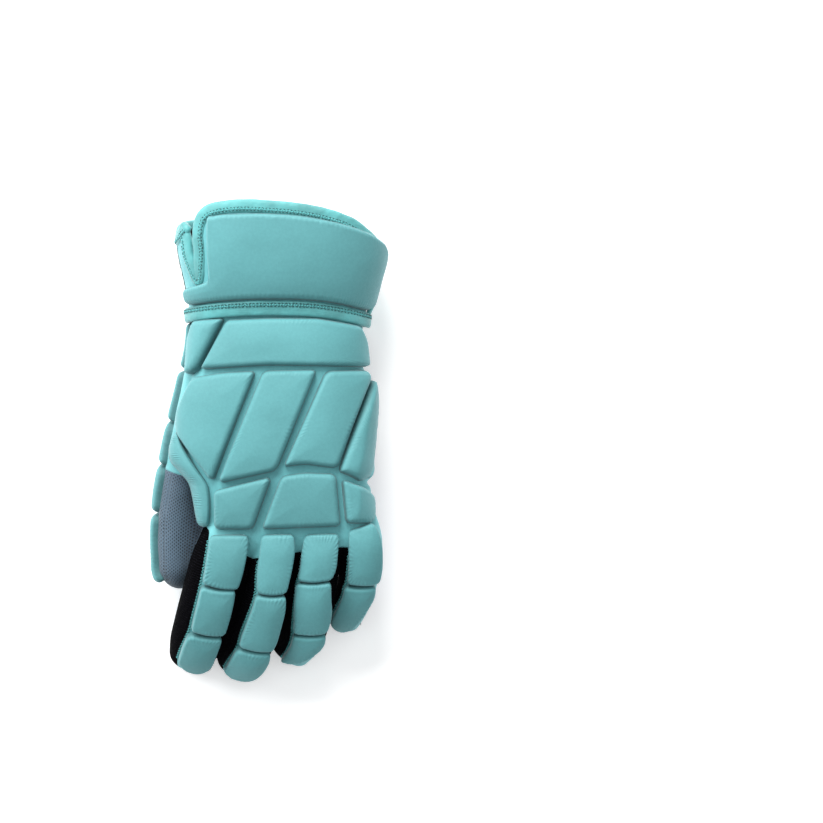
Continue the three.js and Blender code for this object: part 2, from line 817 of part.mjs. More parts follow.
function addWebStrip() {
  const rings = WEB_STRIP.rows.map((row, i) => {
    const before = WEB_STRIP.rows[Math.max(i - 1, 0)];
    const after = WEB_STRIP.rows[Math.min(i + 1, WEB_STRIP.rows.length - 1)];
    const along = new THREE.Vector2(after.x - before.x, after.y - before.y).normalize();
    const at = (share, lift) =>
      backPoint(
        row.x + along.y * row.wide * share,
        row.y - along.x * row.wide * share,
        lift,
      );
    return [
      at(-0.5, -PAD_SINK),
      at(-0.5, PAD_LIFT * 0.4),
      at(-0.28, PAD_LIFT * 0.95),
      at(0.28, PAD_LIFT * 0.95),
      at(0.5, PAD_LIFT * 0.4),
      at(0.5, -PAD_SINK),
    ];
  });
  addPiece(WEB_STRIP.name, solidOf(loft(rings)).subtract(padSeat), TEAL);
}

// A pad of a finger: an outline of distance along by distance across, rounded at its corners.
function addFingerPads() {
  for (const { name, tube, padWidth, lean, splits } of fingers) {
    const tip = tube.length + FINGER_DOME * 0.9;
    const ends = [...splits.map((y) => tube.distanceAtY(y, 0, PAD_LIFT)), tip];
    splits.forEach((_, i) => {
      const from = ends[i] + PAD_SPLIT / 2;
      const to = ends[i + 1] - PAD_SPLIT / 2;
      const left = -padWidth / 2 + lean / 2;
      const right = padWidth / 2 + lean / 2;
      const points = [[left, from], [right, from], [right, to], [left, to]];
      const outline = cutOutline(points, 3, 20);
      const surface = (across, distance, lift) => tube.padPoint(distance, across, lift);
      const made = padOver(outline, surface, PAD_LIFT, false).subtract(padSeat);
      addPiece(`${name}_pad_${i + 1}`, made, TEAL);
    });
  }
}

function addThumbPads() {
  const { palm, outer } = THUMB_PAD_SPAN;
  const ends = THUMB_SPLITS.map((split) => ({
    palm: thumb.distanceAtY(split.palm, palm, THUMB_PAD_LIFT),
    outer: thumb.distanceAtY(split.outer, outer, THUMB_PAD_LIFT),
  }));
  ends.slice(1).forEach((end, i) => {
    const begin = ends[i];
    const points = [
      [palm, begin.palm + PAD_SPLIT / 2],
      [outer, begin.outer + PAD_SPLIT / 2],
      [outer, end.outer - PAD_SPLIT / 2],
      [palm, end.palm - PAD_SPLIT / 2],
    ];
    const surface = (across, distance, lift) => thumb.padPoint(distance, across, lift);
    const outline = cutOutline(points, 3, 20);
    const made = padOver(outline, surface, THUMB_PAD_LIFT, false).subtract(padSeat);
    addPiece(`thumb_pad_${i + 1}`, made, TEAL);
  });
}

// A point of the cuff's outer wall by the angle round it, lifted off the wall.
function cuffPoint(degrees, y, lift) {
  const row = rowAt(CUFF, placeWhere(CUFF, "y", y));
  const angle = THREE.MathUtils.degToRad(degrees);
  const section = {
    a: row.half,
    b: (row.top - row.bottom) / 2,
    power: Math.sin(angle) < 0 ? CUFF_BOTTOM_POWER : CUFF_TOP_POWER,
  };
  const p = sectionPoint(section, angle, lift);
  return new THREE.Vector3(row.x + p.x, y, (row.top + row.bottom) / 2 + p.z);
}

// The cuff's wall between two lifts, all the way round it and past its edges.
function cuffShell(highLift, lowLift) {
  const sheet = (lift) =>
    CUFF.map(({ y }) =>
      Array.from({ length: CUFF_SIDES }, (_, i) => cuffPoint((360 * i) / CUFF_SIDES, y, lift)),
    );
  return ringSolid([...sheet(highLift), ...sheet(lowLift).reverse()]);
}

// The space over rows of angle, each with a y where it begins and a y where it ends.
function cuffRegion(rows) {
  const sheet = (lift) =>
    rows.map(({ angle, from, to }) => [cuffPoint(angle, from, lift), cuffPoint(angle, to, lift)]);
  return solidOf(wall(sheet(REGION_LIFT), sheet(-REGION_LIFT)));
}

// A rounded band along a path of points, flat against the surface whose normals are given.
function band(path, normals, wide, thick) {
  const sides = 6;
  const rings = path.map((p, i) => {
    const before = path[Math.max(i - 1, 0)];
    const after = path[Math.min(i + 1, path.length - 1)];
    const along = after.clone().sub(before).normalize();
    const side = normals[i].clone().cross(along).normalize();
    return Array.from({ length: sides }, (_, k) => {
      const s = onSection((2 * Math.PI * (k + 0.5)) / sides, FINGER_POWER);
      return p
        .clone()
        .addScaledVector(side, (s.across * wide) / 2)
        .addScaledVector(normals[i], (s.up * thick) / 2);
    });
  });
  return solidOf(loft(rings));
}

function cuffNormal(degrees, y) {
  const p = cuffPoint(degrees, y, 0);
  const round = cuffPoint(degrees + 1, y, 0).sub(p);
  const along = cuffPoint(degrees, y + 1, 0).sub(p);
  return round.cross(along).normalize().negate();
}

// The cuff's free edge moved into its cloth by a distance.
function insetEdge(inset) {
  return CUFF_EDGE.map(({ angle, y }, i) => {
    const round = cuffPoint(angle + 1, y, 0).distanceTo(cuffPoint(angle - 1, y, 0)) / 2;
    const near = (row) => new THREE.Vector2((row.angle - angle) * round, row.y - y);
    const middle = new THREE.Vector2();
    const before = i ? near(CUFF_EDGE[i - 1]) : near(CUFF_EDGE[1]).negate();
    const after = CUFF_EDGE[i + 1] ? near(CUFF_EDGE[i + 1]) : before.clone().negate();
    const moved = movedLeft(before, middle, after, -inset);
    return { angle: angle + moved.x / round, y: y + moved.y };
  });
}

// The middle line of the binding round the cuff's free edge.
function bindingPath() {
  return insetEdge(BINDING_WIDTH / 2).map(({ angle, y }) => ({
    point: cuffPoint(angle, y, -CUFF_WALL / 2),
    normal: cuffNormal(angle, y),
  }));
}

function addCuff() {
  const path = bindingPath();
  const points = path.map((p) => p.point);
  const normals = path.map((p) => p.normal);
  const binding = band(points, normals, BINDING_WIDTH, BINDING_THICKNESS);
  const bindingSeat = band(
    points,
    normals,
    BINDING_WIDTH + 2 * SEAM_GAP,
    BINDING_THICKNESS + 2 * SEAM_GAP,
  );
  const region = cuffRegion(
    insetEdge(BINDING_WIDTH + 2 * SEAM_GAP).map(({ angle, y }) => ({ angle, from: CUFF[0].y, to: y })),
  );
  const liningTop = -CUFF_WALL - 1.5 * SEAM_GAP;
  const tagTop = liningTop - LINING_WALL - SEAM_GAP;
  const layer = (high, low) =>
    cuffShell(high, low).intersect(region).subtract(bindingSeat);
  addPiece("cuff_base", layer(0, -CUFF_WALL), TEAL);
  addPiece("cuff_lining", layer(liningTop, liningTop - LINING_WALL), BLACK_MESH);
  addPiece("cuff_binding", binding, BRIGHT_TEAL);
  const tag = cuffShell(tagTop, tagTop - TAG_THICKNESS).intersect(cuffRegion(TAG_ROWS));
  addPiece("inner_tag", tag, WHITE_TAG);
  addCuffPad(bindingSeat);
  addStraps(bindingSeat);
}

function addCuffPad(bindingSeat) {
  const outline = cutOutline(
    [
      ...CUFF_PAD.map(({ angle, from }) => [angle * CUFF_MM_PER_DEGREE, from]),
      ...CUFF_PAD.map(({ angle, to }) => [angle * CUFF_MM_PER_DEGREE, to]).reverse(),
    ],
    0,
    FAR,
  );
  const surface = (x, y, lift) => cuffPoint(x / CUFF_MM_PER_DEGREE, y, lift);
  const pad = padOver(outline, surface, CUFF_PAD_LIFT, true)
    .subtract(cuffShell(SEAM_GAP, -REGION_LIFT))
    .subtract(bindingSeat);
  addPiece("cuff_pad", pad, TEAL);
}

// The tape round the joint of hand and cuff.
function addWristBinding() {
  const { from, to, lift, thick } = WRIST_BINDING;
  const half = (to - from) / 2;
  const section = [
    { along: -half, lift },
    { along: -half, lift: lift + thick * 0.5 },
    { along: -half * 0.5, lift: lift + thick },
    { along: half * 0.5, lift: lift + thick },
    { along: half, lift: lift + thick * 0.5 },
    { along: half, lift },
  ];
  const rings = section.map((corner) => {
    const y = (from + to) / 2 + corner.along;
    return Array.from({ length: CUFF_SIDES }, (_, i) =>
      cuffPoint((360 * i) / CUFF_SIDES, Math.max(y, CUFF[0].y), corner.lift).setY(y),
    );
  });
  addPiece("wrist_binding", ringSolid(rings).subtract(padSeat), BRIGHT_TEAL);
}

function addStraps(bindingSeat) {
  const loopTop = SEAM_GAP + LOOP_THICKNESS;
  const low = loopTop + SEAM_GAP;
  const strip = (rows, high, from) =>
    cuffShell(high, from).intersect(
      cuffRegion(
        rows.map(({ angle, y, wide }) => ({ angle, from: y - wide / 2, to: y + wide / 2 })),
      ),
    );
  const loop = strip(LOOP_ROWS, loopTop, SEAM_GAP).subtract(bindingSeat);
  addPiece("loop_panel", loop, BLACK_LOOP);
  const strap = strip(STRAP_ROWS, low + STRAP_THICKNESS, low).subtract(bindingSeat);
  addPiece("strap", strap, BLACK_ELASTIC);
  addPiece("strap_tab", strip(TAB_ROWS, low + TAB_THICKNESS, low), NAVY_TAB);
}

addCloth();
addBackPads();
addWebStrip();
addFingerPads();
addThumbPads();
addCuff();
addWristBinding();

const box = new THREE.Box3().setFromObject(group, true);
const middle = box.getCenter(new THREE.Vector3());
group.position.set(-middle.x, -middle.y, -box.min.z);

export default group;
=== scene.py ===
"""A ball hockey glove for the left hand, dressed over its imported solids.

The sizes are in millimetres in the maker's own frame, where the fingers point to -Y and the
padded back faces up, and become metres in the row frame when a mesh is made.
"""

import math

import bpy
import numpy as np
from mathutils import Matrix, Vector


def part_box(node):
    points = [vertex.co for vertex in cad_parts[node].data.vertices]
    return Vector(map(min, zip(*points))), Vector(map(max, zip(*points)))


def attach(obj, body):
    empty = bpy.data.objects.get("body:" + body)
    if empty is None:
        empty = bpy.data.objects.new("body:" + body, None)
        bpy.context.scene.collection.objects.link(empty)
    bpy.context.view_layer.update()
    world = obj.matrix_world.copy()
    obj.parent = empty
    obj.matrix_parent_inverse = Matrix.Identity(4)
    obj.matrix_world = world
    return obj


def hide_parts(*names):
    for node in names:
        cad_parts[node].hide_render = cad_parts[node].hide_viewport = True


bl_info = {
    "name": "Ball hockey glove",
    "version": (1, 0, 0),
    "blender": (4, 5, 0),
    "location": "3D View > Sidebar > Glove",
    "description": "Builds a padded ball hockey glove piece by piece",
    "category": "Add Mesh",
}

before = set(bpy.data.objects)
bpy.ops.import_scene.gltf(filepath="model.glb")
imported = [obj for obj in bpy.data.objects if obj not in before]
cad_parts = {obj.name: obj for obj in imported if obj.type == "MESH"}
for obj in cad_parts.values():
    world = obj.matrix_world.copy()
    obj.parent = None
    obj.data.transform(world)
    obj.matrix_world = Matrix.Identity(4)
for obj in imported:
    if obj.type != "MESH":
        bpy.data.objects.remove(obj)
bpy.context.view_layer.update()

# The main sizes in millimetres, the powers of the rounded sections, the cloth's wall in metres
# and the share of a pad's box that its foam fills
PAD_LIFT = 6.5
THUMB_PAD_LIFT = 5.5
CUFF_PAD_LIFT = 6.0
CUFF_WALL = 3.0
FINGER_DOME = 10.0
THUMB_DOME = 12.0
HAND_POWER = 2.6
FINGER_POWER = 2.5
CUFF_TOP_POWER = 2.4
CUFF_BOTTOM_POWER = 3.2
CUFF_MM_PER_DEGREE = 1.25
WRIST_TAPE = (84.0, 94.0)
WRIST_TAPE_X = 4.6
WRIST_Y = 88.7
WRIST_CUT = 87.5
CLOTH_WALL = 0.0013
SHOULDER = 3.6
OUTER_SHOULDER = 3.4
PINCH = 2.2
JOINT_BOW = 1.7
JOINT_START = 1.6
JOINT_END = 0.7
PAD_FILL = 0.85

# y, x, half width, highest and lowest z of the hand's cloth body
HAND = [
    (88.7, 6, 57, 58, 8), (58, 5, 57, 61, 10), (25, 5.8, 60.5, 63.8, 13.5),
    (-10, 6.3, 60.7, 63.8, 19), (-38, 10, 58.5, 61.3, 25.5), (-61, 15, 57.7, 57.4, 32),
    (-72, 15.5, 54.5, 54.3, 35.8), (-78, 15.5, 46, 50, 40),
]

# Each finger's lean, its pads' width, and its rows: x, y, z, width and thickness
FINGERS = {
    "index": {
        "lean": 2.5,
        "pad": 25.0,
        "rows": [
            (-25, -50, 43, 30, 21), (-30.3, -68, 45, 35.5, 23), (-35, -82, 43.5, 38, 23),
            (-40.3, -101, 38, 38.5, 23), (-46.6, -121, 29.5, 37.5, 22.5),
            (-52.8, -138, 19, 34.5, 21.5), (-55.8, -148.3, 10.3, 31, 20),
        ],
    },
    "middle": {
        "lean": 2.5,
        "pad": 23.5,
        "rows": [
            (6, -50, 43.5, 28, 21), (4, -68, 46, 29.5, 23), (1.5, -82, 44.5, 30, 23),
            (-3.5, -102, 40, 31.5, 23), (-10, -124, 31.5, 34, 22.5),
            (-18.3, -141.8, 20.5, 34, 21.5), (-22.8, -152.8, 10.3, 32.5, 20),
        ],
    },
    "ring": {
        "lean": 2.0,
        "pad": 24.0,
        "rows": [
            (34.5, -50, 43, 27.5, 21), (34.5, -68, 45, 28.5, 23), (32.5, -82, 43, 29, 23),
            (28.5, -101, 37.5, 30, 22.5), (24.8, -118, 29.5, 32, 22), (18.8, -133, 19.5, 33, 21),
            (12.8, -141.8, 10.3, 30, 20),
        ],
    },
    "little": {
        "lean": 0.5,
        "pad": 23.0,
        "rows": [
            (57, -48, 40.5, 26, 20), (62, -66, 42, 27, 22.5), (61.5, -80, 39, 27, 22),
            (58.5, -96, 31.5, 27, 21.5), (53.4, -110.5, 21, 27, 20.5),
            (48.6, -119.8, 10, 26, 19.5),
        ],
    },
}

# Each finger pad seen from above: its left side and its right side, both from the knuckle
# toward the tip, and the points of a fingertip's round nose.
FINGER_PADS = {
    "index": [
        (
            [(-40.9, -62.8), (-42.2, -74.1), (-44.1, -85.5), (-46.2, -95.6)],
            [(-15.4, -62.8), (-16.3, -74.1), (-18.5, -85.5), (-21, -94.5), (-23.4, -99.4)],
            [],
        ),
        (
            [(-46.9, -98.6), (-49.4, -108.1), (-52.6, -119.5), (-54.7, -128.3)],
            [(-24.1, -101), (-25.4, -108.1), (-28.4, -119.5), (-32.4, -131)],
            [],
        ),
        (
            [(-56.2, -131.4), (-61.6, -142.1), (-64.7, -150)],
            [(-33.1, -133.4), (-37, -142.1), (-41, -152)],
            [(-45.5, -157.4), (-52, -159.3), (-60.3, -156.8)],
        ),
    ],
    "middle": [
        (
            [(-5.8, -62.6), (-7, -76), (-9, -87), (-9.4, -102.2)],
            [(15, -62.2), (16, -72), (13.8, -85.5), (9.8, -102.2)],
            [],
        ),
        (
            [(-9.9, -104.4), (-12, -111.5), (-15.4, -119.5), (-19.9, -130.8), (-22.2, -139)],
            [(9.8, -104.4), (9, -113.8), (6.1, -125.1), (2.7, -136.5), (-0.3, -141.6)],
            [],
        ),
        (
            [(-22.8, -141.6), (-27.3, -147), (-33.5, -156)],
            [(-0.7, -143.8), (-2.4, -150), (-7, -157.6)],
            [(-12.6, -163), (-21.1, -164), (-29, -161.8)],
        ),
    ],
    "ring": [
        (
            [(23.3, -62.6), (21.4, -74.1), (20.3, -85.5), (18.4, -94)],
            [(46.6, -61.8), (45.9, -74), (43.8, -85), (40.6, -93)],
            [],
        ),
        (
            [(17.3, -96.3), (15.4, -116.6), (14.7, -130)],
            [(40.4, -95.2), (40.4, -113.8), (39.6, -120), (36.9, -129)],
            [],
        ),
        (
            [(14.7, -132.4), (12.9, -138.7), (9.5, -145.5), (5, -150)],
            [(36.4, -131.2), (35.6, -136.4), (32.6, -141.4)],
            [(28, -146.4), (18.6, -151.4), (10.7, -152.4)],
        ),
    ],
    "little": [
        (
            [(52.4, -60), (53, -70), (52.8, -82), (51.4, -96)],
            [(69.5, -54.5), (73.8, -62), (75.6, -72), (75.6, -84), (73.4, -95.6)],
            [],
        ),
        (
            [(49.8, -98.8), (48.4, -105.9), (44.1, -113.8), (41.3, -119.5), (40.3, -124.5)],
            [(71.6, -98.2), (70.6, -104.7), (67.4, -111.5), (63, -119), (58.8, -124.4)],
            [(55.4, -128), (49.2, -130.2), (43.8, -129)],
        ),
    ],
}

# The thumb's rows, as a finger's, and the direction that its pads face
THUMB = [
    (-34, 84, 31, 36, 33), (-36, 60, 30.5, 38, 33.5), (-41, 36, 30, 40, 34),
    (-47, 12, 28.5, 39, 32), (-53.5, -12, 26.5, 36, 29), (-59, -36, 24.2, 34, 26.5),
    (-62, -60, 22.6, 33, 25), (-62.6, -84, 21.5, 31, 23.5),
]
THUMB_FACING = (-0.75, 0, -0.66)
# The y of each joint between thumb pads, at the palm edge and at the outer edge
THUMB_SPLITS = [(82, 82), (51.5, 48.5), (33.5, 11.5), (-2.5, -18.5), (-42.5, -50.5), (-97, -101)]
# Half the gap between thumb pads, how far round the thumb they begin, and where they end
THUMB_GAP = 0.7
THUMB_PALM_SIDE = -19.0
THUMB_OUTER_SIDE = (17.0, 17.5, 19.0, 21.5, 19.8, 17.5)

# Each pad's corner radius, its outline seen from above and its creases. A crease is a line from
# one point to another, with the drop for each millimetre to the right of it.
BACK_PADS = {
    "wrist_pad_inner": (
        3,
        [(-56, 79), (-54, 82), (-31.3, 83), (-50.4, 48.8), (-58, 44.5), (-60, 49), (-59, 70)],
        [((-41.5, 84), (-54.5, 46), 0.12)],
    ),
    "wrist_pad_main": (
        3,
        [(-30, 82), (0, 83.2), (33, 83), (64, 78), (68.4, 68), (70.5, 50), (0, 51), (-49.2, 48.4)],
        [],
    ),
    "back_pad_1": (
        4,
        [(-53.8, 43.3), (-32, 46.6), (-8.7, 47.6), (-38.5, -25.4), (-42, -25.5), (-62.5, 5), (-65, 14)],
        [],
    ),
    "back_pad_2": (4, [(-4.6, 47.7), (33, 48.4), (5, -20), (-33, -28), (-35, -25.5)], []),
    "back_pad_3": (
        4,
        [(38.4, 47.5), (67.4, 48.4), (68.6, 43.8), (46.8, -18.5), (24, -15.5), (9, -17.5)],
        [],
    ),
    "back_pad_outer": (
        4,
        [(69.8, 43.8), (77, 25), (80, 0), (79, -20), (66, -28), (48, -20.5), (48.2, -17.5)],
        [((56.5, -30), (68.7, 46), 0.6)],
    ),
    "knuckle_pad_inner": (3.5, [(-39, -33), (-1, -24), (1, -26.5), (-11.5, -59.5), (-39, -59.5)], []),
    "knuckle_pad_middle": (
        3.5,
        [(8, -23), (24, -20.8), (43, -21.5), (46, -24), (48.5, -55.5), (46, -57.5), (-6, -59.5)],
        [],
    ),
    "knuckle_pad_outer": (
        3.5,
        [(49.5, -25), (67, -31), (78, -38), (78, -50), (71, -55.5), (52, -55.5)],
        [((59, -60), (61.5, -20), 0.4)],
    ),
}
# The roll above the thumb: its outer and inner edge seen from above, and the heights of both
WEB_ROLL = [
    (-65.5, 5.5, -63.5, 6.5, 44, 50), (-69, -4, -58.3, -4.5, 41, 54),
    (-68.5, -13, -52.1, -14, 39.5, 56.5), (-62, -21, -46.6, -22, 40, 58),
    (-56, -28.5, -41.6, -29.5, 41, 58.6), (-53.3, -38, -40.2, -39, 42, 58.4),
    (-51.3, -49, -40.4, -49.5, 43, 57), (-49.3, -57.8, -41.6, -58.2, 43.5, 53.5),
]

# y, x, half width, highest and lowest z of the cuff's outer wall
CUFF = [
    (89.3, 4.5, 60, 60, 6.5), (107, 5.3, 63.8, 66.5, 4.3), (130, 5.7, 69, 71.2, 4),
    (165, 5.5, 71.5, 75, 4),
]
# The cuff's free edge: degrees round it, where 0 is the little finger's side and 90 the top, and y
CUFF_EDGE = [
    (-32, 100), (-30.5, 124), (-25, 130), (-10, 131), (10, 134.5), (30, 142), (50, 151),
    (75, 158.2), (100, 162), (120, 160.8), (132, 157), (139.5, 149.5), (142.8, 139), (143.8, 125),
    (144.6, 116.5), (145.6, 124), (146.8, 136), (149.4, 142.5), (152.8, 150), (156.5, 147),
    (163, 144), (176, 141.5), (194, 148), (225, 151.5), (265, 150), (295, 147.5), (311, 144),
    (318, 138), (320, 124), (322, 100),
]
# Degrees, and the y where the cuff's pad begins and ends
CUFF_PAD = [
    (-4, 97, 125), (4, 96, 129.5), (15, 95.2, 134.5), (35, 94.8, 140.5), (60, 94.8, 147),
    (90, 94.8, 152.5), (115, 94.8, 152.5), (122, 94.8, 151.5), (127.5, 94.8, 149),
    (128.8, 94.8, 130), (130.5, 94.8, 110.5), (137, 94.8, 106.5), (150, 94.8, 104.5),
    (163, 95.4, 103),
]
# Degrees, y and width of the strap and of the patch, and the loop panel's degrees and y
STRAP = [
    (292.5, 118.5, 31), (305, 118.8, 31), (318, 119.5, 31), (330, 121.5, 31), (342, 124, 30),
    (353, 125, 28),
]
TAB = [(243, 116.5, 37), (255, 116.5, 37), (270, 117, 37), (282, 117.5, 37), (292, 118, 36)]
LOOP_PANEL = (186, 308, 98.05, 136.55)
# The degrees and y of the label inside the cuff, where the cuff's wall begins and ends in
# degrees, and the y where it begins
INNER_LABEL = (84, 99, 138, 150)
CUFF_ENDS = (-31.5, 321.5)
CUFF_START = 87.0
# The palm's air holes, x and y
VENTS = [(-17, -36.5), (2, -28.5), (21, -20.5), (38, -14.5), (54, -9), (15.5, 6)]
VENTS += [(-19, 31), (15, 27), (33, 29), (15.5, 50.5), (33, 51), (49, 49.5)]
VENT_RADIUS = 1.25
# The seam of the ball of the thumb, seen from above
PALM_SEAM = [(-28, -2), (-24, 20), (-14, 44), (-4, 66), (2, 83)]


def row_shift():
    """The row frame's place of the maker's origin, read from the tape round the wrist."""
    low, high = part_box("wrist_binding")
    x, y, _ = np.add(low, high) / 2 * 1000
    return np.array([x - WRIST_TAPE_X, y - sum(WRIST_TAPE) / 2, 0])


SHIFT = row_shift()


def length_property(name, description, default, most):
    return bpy.props.FloatProperty(
        name=name,
        description=description,
        default=default,
        min=most / 10,
        max=most,
        unit="LENGTH",
        precision=5,
    )


def colour_property(name, description, default):
    return bpy.props.FloatVectorProperty(
        name=name, description=description, default=default, subtype="COLOR", min=0, max=1
    )


class GloveSizes(bpy.types.PropertyGroup):
    """Sizes of the padding and the stitches."""

    pad_roll: length_property("Pad edge roll", "From a pad's edge to its full height", 0.0046, 0.008)
    pad_crown: length_property("Pad crown", "A pad's middle above its rim", 0.0011, 0.003)
    pucker: length_property("Pucker height", "Height of the small folds along a seam", 0.00016, 0.0006)
    tape_width: length_property("Tape width", "Width of the tape round the cuff's edge", 0.0094, 0.012)
    stitch_pitch: length_property("Stitch pitch", "From one stitch to the next", 0.003, 0.006)
    thread: length_property("Thread thickness", "Diameter of the sewing thread", 0.001, 0.0015)


class GloveColours(bpy.types.PropertyGroup):
    """Colours of the cloths, in linear light."""

    teal: colour_property("Teal cloth", "The padding's knit cloth", (0.104, 0.332, 0.352))
    tape: colour_property("Teal tape", "The tape of the seams and edges", (0.1, 0.4, 0.408))
    grey: colour_property("Grip cloth", "The dimpled cloth of the palm", (0.165, 0.262, 0.36))
    black: colour_property("Black mesh", "The open knit between the fingers", (0.004, 0.004, 0.006))
    patch: colour_property("Strap patch", "The patch at the strap's end", (0.013, 0.022, 0.034))


# Smooth tables


def smooth_rows(rows, places):
    """The table's rows at fractional places, on a smooth curve through them."""
    table = np.array(rows, float)
    last = len(table) - 1
    at = np.clip(places, 0, last)
    i = np.minimum(np.floor(at).astype(int), last - 1)
    t = (at - i)[:, None]
    b = table[i]
    c = table[i + 1]
    a = np.where((i > 0)[:, None], table[np.maximum(i - 1, 0)], 2 * b - c)
    d = np.where((i + 2 <= last)[:, None], table[np.minimum(i + 2, last)], 2 * c - b)
    return b + 0.5 * t * (c - a + t * (2 * a - 5 * b + 4 * c - d + t * (3 * (b - c) + d - a)))


def dense_rows(rows, count=1600):
    return smooth_rows(rows, np.linspace(0, len(rows) - 1, count))


def seam_bow(degrees):
    """How far the seam of hand and cuff bows from a plain ring, toward the fingers at the sides."""
    across = np.cos(np.radians(degrees))
    return 0.6 - 7.6 * np.maximum(across, 0) ** 2 - 4.2 * np.maximum(-across, 0) ** 2


def looked_up(table, values):
    """The other columns of a table where its first column has these values."""
    order = np.argsort(table[:, 0], kind="stable")
    return [np.interp(values, table[order, 0], table[order, c]) for c in range(1, table.shape[1])]


HAND_DENSE = dense_rows(HAND)
CUFF_DENSE = dense_rows(CUFF)


# Surfaces


def section_point(a, b, power, angle, lift):
    """A point of a rounded section of half width a and half height b, moved straight off it."""
    c = np.cos(angle)
    s = np.sin(angle)
    across = np.sign(c) * np.abs(c) ** (2 / power)
    up = np.sign(s) * np.abs(s) ** (2 / power)
    tilt_x = np.sign(across) * np.abs(across) ** (power - 1) / a
    tilt_z = np.sign(up) * np.abs(up) ** (power - 1) / b
    size = np.hypot(tilt_x, tilt_z)
    return a * across + lift * tilt_x / size, b * up + lift * tilt_z / size


def angle_across(a, b, power, distance, lift):
    """The angle where a section's upper side, lifted, reaches a distance across, by halving."""
    reach = a + lift
    low = np.zeros(np.shape(distance))
    high = low + np.pi / 2
    for _ in range(26):
        mid = (low + high) / 2
        inside = section_point(a, b, power, mid, lift)[0] > np.abs(distance)
        low = np.where(inside, mid, low)
        high = np.where(inside, high, mid)
    angle = low - np.maximum(np.abs(distance) - reach, 0) / b
    return np.where(distance < 0, np.pi - angle, angle)


def hand_point(angle, y, lift):
    x, half, top, bottom = looked_up(HAND_DENSE, y)
    px, pz = section_point(half, (top - bottom) / 2, HAND_POWER, angle, lift)
    return np.stack([x + px, y + 0 * px, (top + bottom) / 2 + pz], -1)


def back_point(x, y, lift):
    """A point over the back of the hand, by the x at which a pad's face is seen from above."""
    middle, half, top, bottom = looked_up(HAND_DENSE, y)
    angle = angle_across(half, (top - bottom) / 2, HAND_POWER, x - middle, PAD_LIFT)
    return hand_point(angle, y, lift)


def with_shoulder(points):
    """The points, moved out where the hand is fuller, which is above the thumb and on the other
    side, and moved in at that side's pinch next to the knuckle.
    """
    x, y, z = np.moveaxis(points, -1, 0)
    over = np.clip((-33 - x) / 26, 0, 1) ** 1.5
    along = np.clip((y + 30) / 26, 0, 1) * np.clip((50 - y) / 22, 0, 1)
    high = np.clip((z - 34) / 10, 0, 1)
    out = SHOULDER * over * along * (2 - along) * high
    outer = np.clip((x - 46) / 22, 0, 1) ** 1.5 * np.clip((z - 27) / 9, 0, 1)
    full = np.clip((y + 26) / 8, 0, 1) * np.clip((49 - y) / 10, 0, 1)
    pinch = np.exp(-(((y + 28) / 2.4) ** 2))
    side = outer * (OUTER_SHOULDER * full * (2 - full) - PINCH * pinch)
    return np.stack([x - out + side, y, z], -1)


def shoulder_point(x, y, lift):
    return with_shoulder(back_point(x, y, lift))


def cuff_point(degrees, y, lift):
    x, half, top, bottom = looked_up(CUFF_DENSE, y)
    angle = np.radians(degrees)
    power = np.where(np.sin(angle) < 0, CUFF_BOTTOM_POWER, CUFF_TOP_POWER)
    px, pz = section_point(half, (top - bottom) / 2, power, angle, lift)
    return np.stack([x + px, y + 0 * px, (top + bottom) / 2 + pz], -1)


def cuff_normal(degrees, y):
    return unit(cuff_point(degrees, y, 1.0) - cuff_point(degrees, y, 0.0))


def turns(count):
    """Angles evenly round a whole turn."""
    return np.linspace(0, 2 * np.pi, count, endpoint=False)


def lengths(path):
    """The distance along a line at each of its points."""
    return np.concatenate([[0], np.cumsum(np.linalg.norm(np.diff(path, axis=0), axis=1))])


def unit(v):
    return v / np.maximum(np.linalg.norm(v, axis=-1, keepdims=True), 1e-12)


